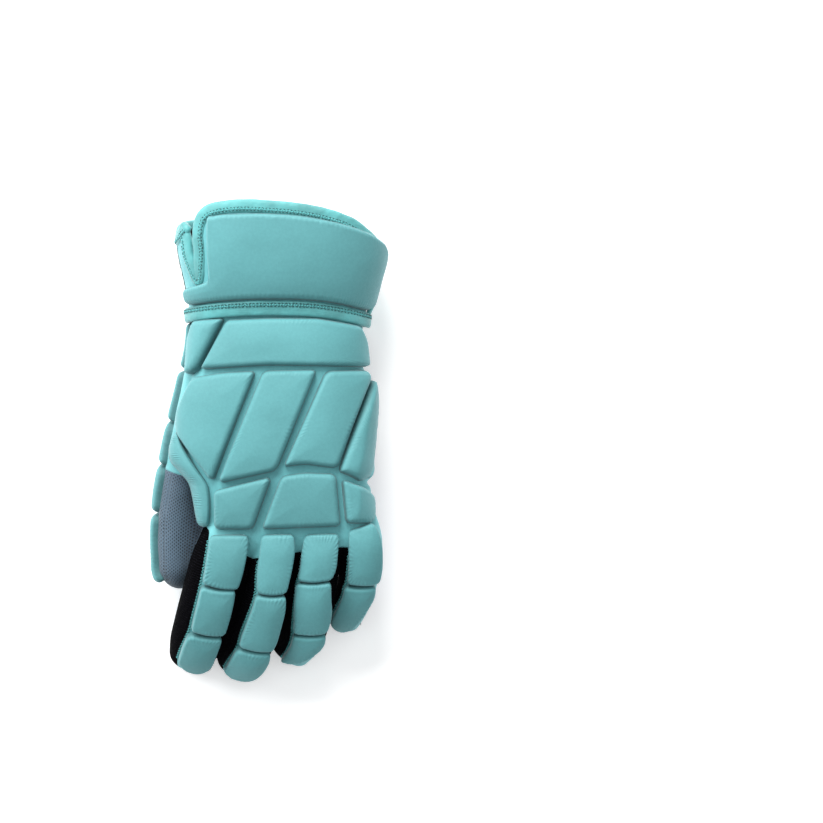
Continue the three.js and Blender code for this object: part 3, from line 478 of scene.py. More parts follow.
class Tube:
    """A finger's or the thumb's middle line with its sections, by distance along it.

    The line is a smooth curve through the rows' points, spaced by their distances' square roots.
    """

    def __init__(self, rows, facing, lean, dome, pad_lift):
        self.lean = lean
        self.dome = dome
        self.pad_lift = pad_lift
        self.facing = np.array(facing, float)
        table = np.array(rows, float)
        p = table[:, :3]
        ends = np.vstack([2 * p[0] - p[1], p, 2 * p[-1] - p[-2]])
        step = np.maximum(np.linalg.norm(np.diff(ends, axis=0), axis=1) ** 0.5, 1e-4)
        points = []
        t = np.linspace(0, 1, 60, endpoint=False)[:, None]
        for i in range(len(p) - 1):
            x0, x1, x2, x3 = ends[i : i + 4]
            d0, d1, d2 = step[i : i + 3]
            t1 = ((x1 - x0) / d0 - (x2 - x0) / (d0 + d1) + (x2 - x1) / d1) * d1
            t2 = ((x2 - x1) / d1 - (x3 - x1) / (d1 + d2) + (x3 - x2) / d2) * d1
            c2 = -3 * x1 + 3 * x2 - 2 * t1 - t2
            c3 = 2 * x1 - 2 * x2 + t1 + t2
            points.append(x1 + t1 * t + c2 * t * t + c3 * t**3)
        self.line = np.vstack([*points, p[-1:]])
        places = np.linspace(0, len(p) - 1, len(self.line))
        self.sizes = smooth_rows(table[:, 3:], places)
        self.at = lengths(self.line)
        self.length = self.at[-1]
        tangent = unit(np.gradient(self.line, self.at, axis=0))
        self.table = np.hstack([self.line, tangent, self.sizes])

    def frames(self, distance):
        """The middle, the directions, the dome's turn and the half sizes of the sections."""
        near = np.clip(distance, 0, self.length)
        x, y, z, tx, ty, tz, wide, thick = (np.interp(near, self.at, c) for c in self.table.T)
        centre = np.stack([x, y, z], -1)
        along = unit(np.stack([tx, ty, tz], -1))
        up = unit(self.facing - along * (along @ self.facing)[..., None])
        side = np.cross(up, along)
        past = np.maximum(distance - self.length, 0)
        turn = np.arcsin(np.minimum(past / self.dome, 1))
        shrink = np.maximum(np.cos(turn), 1e-3)
        leaning = up + side * (2 * self.lean / thick)[..., None]
        centre = centre + along * past[..., None]
        return centre, along, up, leaning, side, turn, wide / 2 * shrink, thick / 2 * shrink

    def point(self, distance, angle, lift):
        centre, along, _, leaning, side, turn, a, b = self.frames(distance)
        px, pz = section_point(a, b, FINGER_POWER, angle, lift * np.cos(turn))
        ahead = lift * np.sin(turn)
        middle = centre + side * px[..., None]
        return middle + leaning * pz[..., None] + along * ahead[..., None]

    def pad_point(self, distance, offset, lift):
        """A point over the tube, by its distance across where a pad's face is seen."""
        *_, turn, a, b = self.frames(distance)
        angle = angle_across(a, b, FINGER_POWER, offset, self.pad_lift * np.cos(turn))
        return self.point(distance, angle, lift)

    def distance_at_y(self, y, offset, lift):
        """The distance along the tube where a pad's point is seen at this y, by halving."""
        low = 0.0
        high = self.length + self.dome * 0.98
        for _ in range(40):
            mid = (low + high) / 2
            if self.pad_point(np.array([mid]), np.array([offset]), lift)[0, 1] > y:
                low = mid
            else:
                high = mid
        return (low + high) / 2

    def located(self, points):
        """Each point's distance along the tube, across it and above its middle, and how far off."""
        found = np.zeros((len(points), 4))
        centre, along, up, _, side, _, _, _ = self.frames(self.at)
        thick = self.sizes[:, 1]
        for start in range(0, len(points), 4000):
            part = points[start : start + 4000]
            gap = ((part[:, None, :] - self.line[None, ::4, :]) ** 2).sum(-1)
            k = gap.argmin(1) * 4
            d = part - centre[k]
            height = (d * up[k]).sum(1)
            across = (d * side[k]).sum(1) - height * 2 * self.lean / thick[k]
            ahead = (d * along[k]).sum(1)
            found[start : start + 4000] = np.stack(
                [self.at[k] + ahead, across, height, np.sqrt(gap.min(1))], -1
            )
        return found


TUBES = {
    name: Tube(f["rows"], (0, 0, 1), f["lean"], FINGER_DOME, PAD_LIFT)
    for name, f in FINGERS.items()
}
THUMB_TUBE = Tube(THUMB, THUMB_FACING, 0.0, THUMB_DOME + 5, THUMB_PAD_LIFT)


def tube_outline(tube, seen, lift):
    """Places across and along a tube whose lifted points are seen from above at these x and y."""
    target = np.array(seen, float)
    place = np.array([[0.0, tube.distance_at_y(y, 0.0, lift)] for _, y in target])
    limit = tube.length + tube.dome * 0.88
    for _ in range(40):
        u, v = place.T
        here = tube.pad_point(v, u, lift)[:, :2]
        du = (tube.pad_point(v, u + 0.2, lift)[:, :2] - here) / 0.2
        dv = (tube.pad_point(v + 0.2, u, lift)[:, :2] - here) / 0.2
        gap = target - here
        det = du[:, 0] * dv[:, 1] - du[:, 1] * dv[:, 0]
        det = np.where(np.abs(det) < 0.05, np.where(det < 0, -0.05, 0.05), det)
        step_u = (gap[:, 0] * dv[:, 1] - gap[:, 1] * dv[:, 0]) / det
        step_v = (du[:, 0] * gap[:, 1] - du[:, 1] * gap[:, 0]) / det
        step = np.clip(np.stack([step_u, step_v], -1), -2, 2) * 0.8
        place = place + step
        place[:, 0] = np.clip(place[:, 0], -21, 21)
        place[:, 1] = np.clip(place[:, 1], 0, limit)
    return place


def ripples(points, size, seed):
    """A smooth, repeatable unevenness between -1 and 1 over points, about size mm wide."""
    rng = np.random.default_rng(seed)
    total = np.zeros(len(points))
    for _ in range(7):
        wave = unit(rng.normal(size=3)) * rng.uniform(0.6, 1.5) / size
        total += np.sin(points @ wave * 2 * np.pi + rng.uniform(0, 2 * np.pi))
    return total / 7


# Meshes


def placed(name, data):
    """A new object for a mesh, a light or a camera, in the scene."""
    piece = bpy.data.objects.new(name, data)
    bpy.context.scene.collection.objects.link(piece)
    return piece


def mesh_piece(name, points, faces, uv=None, edge=None):
    """A mesh in the row frame from points in millimetres. uv and edge are values per point."""
    mesh = bpy.data.meshes.new(name)
    co = (np.asarray(points) + SHIFT) / 1000
    sizes = np.array([len(f) for f in faces])
    corners = np.concatenate([np.asarray(f) for f in faces])
    mesh.vertices.add(len(co))
    mesh.vertices.foreach_set("co", co.astype(np.float32).ravel())
    mesh.loops.add(len(corners))
    mesh.loops.foreach_set("vertex_index", corners.astype(np.int32))
    mesh.polygons.add(len(sizes))
    starts = np.concatenate([[0], np.cumsum(sizes)[:-1]]).astype(np.int32)
    mesh.polygons.foreach_set("loop_start", starts)
    mesh.update(calc_edges=True)
    mesh.validate()
    mesh.shade_smooth()
    if uv is not None:
        layer = mesh.uv_layers.new(name="cloth")
        loops = np.zeros(len(mesh.loops), np.int32)
        mesh.loops.foreach_get("vertex_index", loops)
        layer.data.foreach_set("uv", (np.asarray(uv)[loops] / 1000).astype(np.float32).ravel())
    if edge is not None:
        attribute = mesh.attributes.new("edge", "FLOAT", "POINT")
        attribute.data.foreach_set("value", np.asarray(edge, np.float32))
    return placed(name, mesh)


def grid_faces(rows, columns, close_columns=False, close_rows=False, offset=0):
    """The quads between rows and columns of points."""
    r = np.arange(rows if close_rows else rows - 1)
    c = np.arange(columns if close_columns else columns - 1)
    rr, cc = np.meshgrid(r, c, indexing="ij")
    r2 = (rr + 1) % rows
    c2 = (cc + 1) % columns
    quads = np.stack([rr * columns + cc, rr * columns + c2, r2 * columns + c2, r2 * columns + cc], -1)
    return quads.reshape(-1, 4) + offset


def turned_out(points, faces):
    """The faces with their order turned, if the closed form they make is inside out."""
    p = np.asarray(points)
    a, b, c = p[faces[:, 0]], p[faces[:, 1]], p[faces[:, 2]]
    volume = (np.cross(a, b) * c).sum()
    if faces.shape[1] == 4:
        volume += (np.cross(a, c) * p[faces[:, 3]]).sum()
    return faces if volume > 0 else faces[:, ::-1]


def capped(points, rings, count):
    """The faces of a closed form through rings of points, with flat ends."""
    quads = grid_faces(rings, count, close_columns=True)
    faces = turned_out(points, quads)
    first = np.arange(count)
    last = first + (rings - 1) * count
    ends = [first[::-1], last] if faces is quads else [first, last[::-1]]
    return [*faces, *ends]


def closed_wall(outer, inner):
    """Points and faces of a closed wall between two sheets of points."""
    rows, columns, _ = outer.shape
    count = rows * columns
    points = np.vstack([outer.reshape(-1, 3), inner.reshape(-1, 3)])
    faces = [grid_faces(rows, columns), grid_faces(rows, columns, offset=count)[:, ::-1]]
    rim = np.concatenate(
        [
            np.arange(columns),
            np.arange(1, rows) * columns + columns - 1,
            (rows - 1) * columns + np.arange(columns - 2, -1, -1),
            np.arange(rows - 2, 0, -1) * columns,
        ]
    )
    nxt = np.roll(rim, -1)
    faces.append(np.stack([nxt, rim, rim + count, nxt + count], -1))
    return points, turned_out(points, np.vstack(faces))


def rounded_outline(points, corner, step):
    """A closed line with round corners, divided evenly."""
    at = np.array(points, float)
    line = []
    for i, p in enumerate(at):
        before = at[i - 1] - p
        after = at[(i + 1) % len(at)] - p
        cut = min(corner * 1.25, np.hypot(*before) * 0.45, np.hypot(*after) * 0.45)
        a = p + before / np.hypot(*before) * cut
        b = p + after / np.hypot(*after) * cut
        t = np.linspace(0, 1, 9)[:, None]
        line.append((1 - t) ** 2 * a + 2 * t * (1 - t) * p + t * t * b)
    line = np.vstack(line)
    loop = np.vstack([line, line[:1]])
    run = lengths(loop)
    count = int(run[-1] / step)
    even = np.linspace(0, run[-1], count, endpoint=False)
    return np.stack([np.interp(even, run, loop[:, k]) for k in range(2)], -1), even


def distance_inside(points, outline):
    """How far points in a closed outline are from it."""
    a = outline
    d = np.roll(outline, -1, axis=0) - a
    size = (d**2).sum(1)
    best = np.full(len(points), 1e9)
    for start in range(0, len(points), 3000):
        p = points[start : start + 3000, None, :] - a[None]
        t = np.clip((p * d).sum(-1) / size, 0, 1)
        gap = p - t[..., None] * d
        best[start : start + 3000] = np.sqrt((gap**2).sum(-1).min(1))
    return best


def roll_height(inset, roll, share=0.0):
    """The height of a pad's rolled edge, from share at its rim to 1."""
    t = np.clip(inset / roll, 0, 1)
    return share + (1 - share) * (1 - (1 - t) ** 2.3) ** (1 / 2.5)


# How far in from a pad's edge its rings of points lie, where the rings under it lie, as shares
# of the way to its middle, and how far it sinks into the cloth
RING_INSETS = (0, 0.12, 0.35, 0.7, 1.1, 1.6, 2.2, 2.9, 3.7, 4.7, 5.9, 7.5, 9.5)
BASE_SHARES = (0.0, 0.3, 0.6, 0.85)
PAD_SINK = 1.2


def rings_inward(outline, centre, shares):
    """Rings of points at shares of the way from an outline to its centre, and the centre."""
    return np.vstack([*(outline * (1 - s) + centre * s for s in shares), centre])


def pillow(name, points, corner, surface, lift, sizes, creases=(), seed=0, gathers=None):
    """A padded block with a rolled rim over an outline on a surface(u, v, lift).

    gathers gives the share of a place's small folds that a sewn edge pulls into the cloth, and
    only a finger's block, whose rim is tighter, has them.
    """
    outline, run = rounded_outline(points, corner, 0.4 if gathers else 0.8)
    centre = outline.mean(0)
    reach = np.linalg.norm(outline - centre, axis=1).mean()
    insets = [i / reach for i in RING_INSETS if i < reach * 0.7]
    rest = np.linspace(insets[-1], 0.97, max(int(reach * 0.3), 4))[1:]
    shares = np.concatenate([insets, rest])
    flat = rings_inward(outline, centre, shares)
    inset = distance_inside(flat, outline)
    roll = sizes.pad_roll * 1000 * (0.62 if gathers else 1.0)
    height = lift * roll_height(inset, roll, 0.02)
    height += sizes.pad_crown * 1000 * np.sin(inset / max(inset.max(), 1) * np.pi / 2)
    arc = np.concatenate([np.tile(run, len(shares)), [0]])
    pull = np.exp(-(((inset - 2.2) / 2.0) ** 2))
    folds = np.sin(arc * 2 * np.pi / 2.9 + 2.5 * np.sin(arc / 7.0 + seed))
    patchy = 0.5 + 0.5 * np.sin(arc / 13.0 + seed * 1.7)
    height += sizes.pucker * 1000 * pull * folds * patchy
    if gathers:
        close = np.exp(-(((inset - 1.4) / 1.7) ** 2)) * gathers(flat[:, 0], flat[:, 1])
        sharp = 1 - np.abs(np.sin(arc * np.pi / 1.5 + 1.3 * np.sin(arc / 3.1 + seed)))
        height += sizes.pucker * 1800 * close * (sharp - 0.4) * (0.6 + 0.4 * np.sin(arc / 1.9))
    for (ax, ay), (bx, by), drop in creases:
        along = np.array([bx - ax, by - ay])
        along = along / np.hypot(*along)
        right = (flat[:, 0] - ax) * along[1] - (flat[:, 1] - ay) * along[0]
        fall = drop * (np.sqrt(right**2 + 1.2) + right) / 2
        height += (1.5 - fall - 0.1 * np.maximum(-right, 0)) * roll_height(inset, roll)
    top = surface(flat[:, 0], flat[:, 1], height)
    top_wave = ripples(top, 38, seed) * 0.35 * roll_height(inset, roll)
    top = surface(flat[:, 0], flat[:, 1], height + top_wave)
    base_flat = rings_inward(outline, centre, BASE_SHARES)
    base = surface(base_flat[:, 0], base_flat[:, 1], np.full(len(base_flat), -PAD_SINK))
    count = len(outline)
    rim = np.arange(count)
    start = len(top)
    quads = [
        grid_faces(len(shares), count, close_columns=True),
        grid_faces(len(BASE_SHARES), count, close_columns=True, offset=start)[:, ::-1],
        np.stack([np.roll(rim, -1), rim, start + rim, start + np.roll(rim, -1)], -1),
    ]
    last = rim + (len(shares) - 1) * count
    end = rim + start + (len(BASE_SHARES) - 1) * count
    fans = [
        np.stack([last, np.roll(last, -1), np.full(count, start - 1)], -1),
        np.stack([np.roll(end, -1), end, np.full(count, start + len(base) - 1)], -1),
    ]
    points = np.vstack([top, base])
    quads = np.vstack(quads)
    tris = np.vstack(fans)
    if turned_out(points, quads) is not quads:
        quads = quads[:, ::-1]
        tris = tris[:, ::-1]
    uv = np.vstack([flat, base_flat])
    edge = np.concatenate([np.clip(inset / 7, 0, 1), np.zeros(len(base))])
    return mesh_piece(name, points, [*quads, *tris], uv, edge)


def swept(name, path, normals, wide, thick, power, sides=20):
    """A rounded band along a path of points, flat against the surface under it."""
    along = unit(np.gradient(path, axis=0))
    normals = unit(normals - along * (normals * along).sum(-1, keepdims=True))
    side = np.cross(normals, along)
    angle = turns(sides)
    c, s = np.cos(angle), np.sin(angle)
    across = np.sign(c) * np.abs(c) ** (2 / power) / 2
    up = np.sign(s) * np.abs(s) ** (2 / power) / 2
    points = (
        path[:, None]
        + side[:, None] * (across[None, :] * wide[:, None])[..., None]
        + normals[:, None] * (up[None, :] * thick[:, None])[..., None]
    )
    around = lengths(np.stack([across, up], -1)) * wide.mean() * 1.6
    uv = np.stack([np.repeat(lengths(path), sides), np.tile(around, len(path))], -1)
    points = points.reshape(-1, 3)
    return mesh_piece(name, points, capped(points, len(path), sides), uv)


def finished(piece, finish, slot, *nodes, padded=None):
    """Gives a piece its material and its body, and hides the solids that it stands for."""
    if not piece.data.materials:
        piece.data.materials.append(material(finish))
    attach(piece, "root")
    if nodes:
        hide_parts(*nodes)
    return piece


# Materials


class Nodes:
    """A material's node tree, with short calls to add to it."""

    def __init__(self, name):
        self.material = bpy.data.materials.get(name) or bpy.data.materials.new(name)
        self.material.use_nodes = True
        self.tree = self.material.node_tree
        self.tree.nodes.clear()
        out = self.tree.nodes.new("ShaderNodeOutputMaterial")
        self.shader = self.tree.nodes.new("ShaderNodeBsdfPrincipled")
        self.link(self.shader.outputs[0], out.inputs["Surface"])

    def link(self, a, b):
        self.tree.links.new(a, b)

    def put(self, value, socket):
        if isinstance(value, bpy.types.NodeSocket):
            self.link(value, socket)
        elif value is not None:
            socket.default_value = value

    def math(self, operation, a, b=None, c=None):
        n = self.tree.nodes.new("ShaderNodeMath")
        n.operation = operation
        for value, socket in zip((a, b, c), n.inputs):
            self.put(value, socket)
        return n.outputs[0]

    def mix(self, share, a, b):
        n = self.tree.nodes.new("ShaderNodeMix")
        n.data_type = "RGBA"
        self.put(share, n.inputs[0])
        self.put(a, n.inputs[6])
        self.put(b, n.inputs[7])
        return n.outputs[2]

    def noise(self, vector, scale, detail=2.0, rough=0.5):
        n = self.tree.nodes.new("ShaderNodeTexNoise")
        self.put(vector, n.inputs["Vector"])
        n.inputs["Scale"].default_value = scale
        n.inputs["Detail"].default_value = detail
        n.inputs["Roughness"].default_value = rough
        return n.outputs["Fac"]

    def ramp(self, value, low, high, out_low=0.0, out_high=1.0):
        n = self.tree.nodes.new("ShaderNodeMapRange")
        n.interpolation_type = "SMOOTHSTEP"
        for v, socket in zip((value, low, high, out_low, out_high), n.inputs):
            self.put(v, socket)
        return n.outputs[0]

    def place(self):
        return self.tree.nodes.new("ShaderNodeTexCoord").outputs["Object"]

    def uv(self):
        n = self.tree.nodes.new("ShaderNodeUVMap")
        n.uv_map = "cloth"
        return n.outputs[0]

    def split(self, vector):
        n = self.tree.nodes.new("ShaderNodeSeparateXYZ")
        self.link(vector, n.inputs[0])
        return n.outputs

    def attribute(self, name):
        n = self.tree.nodes.new("ShaderNodeAttribute")
        n.attribute_name = name
        return n.outputs["Fac"]

    def bump(self, height, distance, strength=1.0, under=None):
        n = self.tree.nodes.new("ShaderNodeBump")
        n.inputs["Distance"].default_value = distance
        n.inputs["Strength"].default_value = strength
        self.link(height, n.inputs["Height"])
        if under is not None:
            self.link(under, n.inputs["Normal"])
        return n.outputs[0]

    def wave(self, value, pitch):
        """A sine between 0 and 1 along a value in metres."""
        turn = self.math("MULTIPLY", value, 2 * math.pi / pitch)
        return self.math("MULTIPLY_ADD", self.math("SINE", turn), 0.5, 0.5)

    def cloth(self, tone, normal, **values):
        """The finished material, with its colour, its bumps and plain values by socket name."""
        self.put(tone, self.shader.inputs["Base Color"])
        self.put(normal, self.shader.inputs["Normal"])
        for name, value in values.items():
            self.shader.inputs[name.replace("_", " ")].default_value = value
        return self.material


def scaled(c, factor):
    return (*(min(v * factor, 1.0) for v in c), 1.0)


def knit_cloth(name, base, rough, grain_light_and_rim_shade=(1.35, 0.45)):
    """Smooth knit cloth over foam, its colour darkened near a pad's rim as painted shade in the seams
    between pads.
    """
    n = Nodes(name)
    place = n.place()
    u, v, _ = n.split(n.uv())
    edge = n.attribute("edge")
    fine = n.noise(place, 900, 3, 0.65)
    broad = n.ramp(n.noise(place, 14, 2), 0.3, 0.7)
    tone = n.mix(broad, scaled(base, 0.93), scaled(base, 1.06))
    # Painted shade: near a pad's rim the colour darkens to the second share, for the shade in the seams
    # between pads
    tone = n.mix(n.ramp(edge, 0.0, 0.22), scaled(base, grain_light_and_rim_shade[1]), tone)
    tone = n.mix(n.math("MULTIPLY", n.ramp(fine, 0.45, 0.75), 0.14), tone, scaled(base, grain_light_and_rim_shade[0]))
    grain = n.ramp(n.noise(place, 480, 2, 0.6), 0.38, 0.62)
    tone = n.mix(n.math("MULTIPLY", grain, 0.09), tone, scaled(base, 0.55))
    knit = n.math("MULTIPLY", n.wave(u, 0.00052), n.wave(v, 0.0007))
    folds = n.noise(place, 130, 3, 0.55)
    near = n.math("MULTIPLY", folds, n.ramp(edge, 0.0, 0.75, 1.0, 0.12))
    first = n.bump(near, 0.0011, 0.8)
    second = n.bump(n.noise(place, 42, 2), 0.0018, 0.35, first)
    third = n.bump(n.math("ADD", knit, n.math("MULTIPLY", fine, 0.8)), 0.00008, 0.7, second)
    return n.cloth(
        tone,
        third,
        Roughness=rough,
        Sheen_Weight=0.35,
        Sheen_Roughness=0.45,
        Sheen_Tint=(0.75, 0.95, 1.0, 1.0),
        Specular_IOR_Level=0.32,
    )


def satin_tape(name, base):
    """Folded satin tape with fine cross ribs."""
    n = Nodes(name)
    place = n.place()
    u, v, _ = n.split(n.uv())
    broad = n.ramp(n.noise(place, 60, 3), 0.3, 0.7)
    tone = n.mix(broad, scaled(base, 0.78), scaled(base, 1.12))
    ribs = n.math("ADD", n.wave(u, 0.0006), n.math("MULTIPLY", n.wave(v, 0.0009), 0.5))
    first = n.bump(n.noise(place, 220, 3), 0.0009, 0.7)
    normal = n.bump(ribs, 0.00008, 0.8, first)
    return n.cloth(tone, normal, Roughness=0.42, Sheen_Weight=0.25, Specular_IOR_Level=0.45)


def hex_waves(n, u, v, pitch):
    """Dots on a triangular grid, from 0 between them to 1 at their middles."""
    total = 0.0
    for angle in (0, math.pi / 3, 2 * math.pi / 3):
        across = n.math("MULTIPLY", u, math.cos(angle))
        d = n.math("MULTIPLY_ADD", v, math.sin(angle), across)
        s = n.math("COSINE", n.math("MULTIPLY", d, 4 * math.pi / pitch / math.sqrt(3)))
        total = n.math("ADD", total, s)
    return n.math("MULTIPLY_ADD", total, 2 / 9, 1 / 3)


def dimpled_cloth(name, base, pitch, dark):
    """Grip cloth with a grid of small dimples."""
    n = Nodes(name)
    place = n.place()
    u, v, _ = n.split(n.uv())
    warp = n.math("MULTIPLY_ADD", n.noise(place, 30, 1), 0.004, -0.002)
    u = n.math("ADD", u, warp)
    v = n.math("ADD", v, n.math("MULTIPLY", warp, 0.7))
    dots = n.ramp(hex_waves(n, u, v, pitch), 0.36, 0.7)
    broad = n.ramp(n.noise(place, 22, 3), 0.3, 0.7)
    patchy = n.ramp(n.noise(place, 55, 2), 0.35, 0.65, 0.6, 1.0)
    tone = n.mix(broad, scaled(base, 0.88), scaled(base, 1.12))
    tone = n.mix(n.math("MULTIPLY", dots, patchy), tone, scaled(base, dark))
    first = n.bump(n.noise(place, 45, 3), 0.003, 0.6)
    second = n.bump(n.math("MULTIPLY", dots, -1.0), 0.0005, 0.9, first)
    third = n.bump(n.noise(place, 1500, 2), 0.0001, 0.6, second)
    return n.cloth(tone, third, Roughness=0.78, Sheen_Weight=0.2, Specular_IOR_Level=0.25)


def open_mesh(name, base):
    """Black knit mesh whose threads catch the light in small specks."""
    n = Nodes(name)
    place = n.place()
    u, v, _ = n.split(n.uv())
    ribs = n.wave(n.math("ADD", v, n.math("MULTIPLY", n.noise(place, 160, 2), 0.0012)), 0.0016)
    cells = hex_waves(n, u, v, 0.0018)
    threads = n.math("MULTIPLY", ribs, n.ramp(cells, 0.25, 0.6, 1.0, 0.35))
    specks = n.ramp(n.noise(place, 620, 2, 0.7), 0.56, 0.7)
    lit = n.math("MULTIPLY", threads, specks)
    tone = n.mix(threads, scaled(base, 0.12), scaled(base, 0.9))
    tone = n.mix(n.math("MULTIPLY", lit, 0.32), tone, (0.04, 0.04, 0.052, 1.0))
    return n.cloth(tone, n.bump(threads, 0.0006), Roughness=0.75, Specular_IOR_Level=0.02)


def plain_cloth(name, base, rough, grain, depth, dark=0.6, light=1.3):
    """Thread, pile or webbing: one tone with a fine grain."""
    n = Nodes(name)
    fine = n.noise(n.place(), grain, 3, 0.7)
    tone = n.mix(n.ramp(fine, 0.35, 0.68), scaled(base, dark), scaled(base, light))
    normal = n.bump(fine, depth, 0.9)
    return n.cloth(tone, normal, Roughness=rough, Sheen_Weight=0.15, Specular_IOR_Level=0.25)


def material(name):
    """A glove material by name, made from the colours of the scene's settings."""
    label = "glove_" + name
    found = bpy.data.materials.get(label)
    if found:
        return found
    c = bpy.context.scene.glove_colours

    def thread(base, share, rough):
        return plain_cloth, [v * share for v in base], rough, 2500, 0.0001

    makers = {
        "teal_cloth": (knit_cloth, c.teal, 0.56),
        # The pads' teal made 1.4 times lighter for the cloth between and round them: painted light
        # against the shade in the channels
        "teal_base": (knit_cloth, [v * 1.4 for v in c.teal], 0.6, (1.3, 0.8)),
        "teal_tape": (satin_tape, c.tape),
        "grey_cloth": (dimpled_cloth, c.grey, 0.0023, 0.3),
        "thumb_cloth": (dimpled_cloth, [v * 0.46 for v in c.grey], 0.0023, 0.14),
        "black_mesh": (open_mesh, c.black),
        "black_lining": (plain_cloth, (0.006, 0.008, 0.012), 0.85, 700, 0.0002),
        "black_loop": (plain_cloth, (0.005, 0.006, 0.009), 1.0, 900, 0.0009, 0.3, 2.4),
        "black_elastic": (plain_cloth, (0.007, 0.011, 0.017), 0.6, 1400, 0.0001),
        "navy_patch": (plain_cloth, c.patch, 0.62, 1300, 0.0001, 0.8, 1.25),
        "white_label": (plain_cloth, (0.72, 0.74, 0.75), 0.7, 1800, 0.0001, 0.9, 1.05),
        "teal_thread": thread(c.tape, 1.15, 0.45),
        # Beads of the tape's colour at 0.3, laid beside the tape's stitches as painted shade
        "dark_thread": thread(c.tape, 0.3, 0.6),
        "grey_thread": thread(c.grey, 1.5, 0.55),
        "black_thread": thread((0.02, 0.028, 0.038), 1, 0.5),
    }
    maker, *looks = makers[name]
    return maker(label, *looks)


# The hand's cloth


def loft_mesh(name, rings):
    points = np.vstack(rings)
    return mesh_piece(name, points, capped(points, len(rings), len(rings[0])))


def hand_form():
    """The outer form of the hand and its fingers as one smooth closed mesh, in millimetres."""
    angles = turns(120)
    rings = []
    for y in np.concatenate([[93.0], np.linspace(WRIST_Y, -70, 70), np.linspace(-71, -78, 14)]):
        ring = hand_point(angles, np.full(120, min(y, WRIST_Y)), 0.0)
        rings.append(ring + [0, max(y - WRIST_Y, 0), 0])
    hand = loft_mesh("hand_form", rings)
    forms = [hand]
    dome = np.array([0.2, 0.4, 0.58, 0.74, 0.86, 0.94, 0.985])
    for name, tube in TUBES.items():
        steps = np.concatenate([np.linspace(0, tube.length, 50), tube.length + tube.dome * dome])
        rings = [tube.point(np.full(64, d), turns(64), 0.0) for d in steps]
        forms.append(loft_mesh(name + "_form", rings))
    with bpy.context.temp_override(
        active_object=hand, selected_editable_objects=forms, object=hand
    ):
        bpy.ops.object.join()
    remesh = hand.modifiers.new("voxels", "REMESH")
    remesh.mode = "VOXEL"
    remesh.voxel_size = 0.001
    smooth = hand.modifiers.new("smooth", "SMOOTH")
    smooth.factor = 0.5
    smooth.iterations = 6
    evaluated = hand.evaluated_get(bpy.context.evaluated_depsgraph_get())
    mesh = bpy.data.meshes.new_from_object(evaluated)
    points = np.zeros(len(mesh.vertices) * 3, np.float32)
    mesh.vertices.foreach_get("co", points)
    mesh.calc_loop_triangles()
    tris = np.zeros(len(mesh.loop_triangles) * 3, np.int32)
    mesh.loop_triangles.foreach_get("vertices", tris)
    bpy.data.objects.remove(hand)
    bpy.data.meshes.remove(mesh)
    points = points.reshape(-1, 3).astype(float) * 1000 - SHIFT
    return with_shoulder(points), tris.reshape(-1, 3)


def snapped(points, tris, field):
    """Moves the points next to a field's zero line onto it, so that faces can be parted there."""
    edges = np.vstack([tris[:, [0, 1]], tris[:, [1, 2]], tris[:, [2, 0]]])
    edges = np.unique(np.sort(edges, axis=1), axis=0)
    fa, fb = field[edges[:, 0]], field[edges[:, 1]]
    crossing = fa * fb < 0
    edges, fa, fb = edges[crossing], fa[crossing], fb[crossing]
    t = fa / (fa - fb)
    place = points[edges[:, 0]] * (1 - t)[:, None] + points[edges[:, 1]] * t[:, None]
    who = np.where(t < 0.5, edges[:, 0], edges[:, 1])
    far = np.minimum(t, 1 - t)
    order = np.argsort(-far)
    points = points.copy()
    field = field.copy()
    points[who[order]] = place[order]
    field[who] = 0
    return points, field


def part_of(points, tris, chosen):
    """The chosen faces with only the points that they use, and the numbers of those points."""
    used, index = np.unique(tris[chosen].ravel(), return_inverse=True)
    return points[used], index.reshape(-1, 3), used


def pad_side(finger, side, y):
    """The x of the pads' left side, 0, or their right side, 1, at some y."""
    line = np.array([point for pads in FINGER_PADS[finger] for point in pads[side]])
    return np.interp(-y, -line[:, 1], line[:, 0])


def rounded_strip(across, along, half, start, end, corner):
    """A rounded rectangle's field: millimetres inside it above 0, and outside it below."""
    qx = np.abs(across) - half + corner
    qy = np.abs(along - (start + end) / 2) - (end - start) / 2 + corner
    out = np.hypot(np.maximum(qx, 0), np.maximum(qy, 0)) + np.minimum(np.maximum(qx, qy), 0)
    return corner - out


def soft_most(a, b, width):
    """The larger of two fields, rounded where they are about equal."""
    h = np.maximum(width - np.abs(a - b), 0) / width
    return np.maximum(a, b) + h * h * width / 4


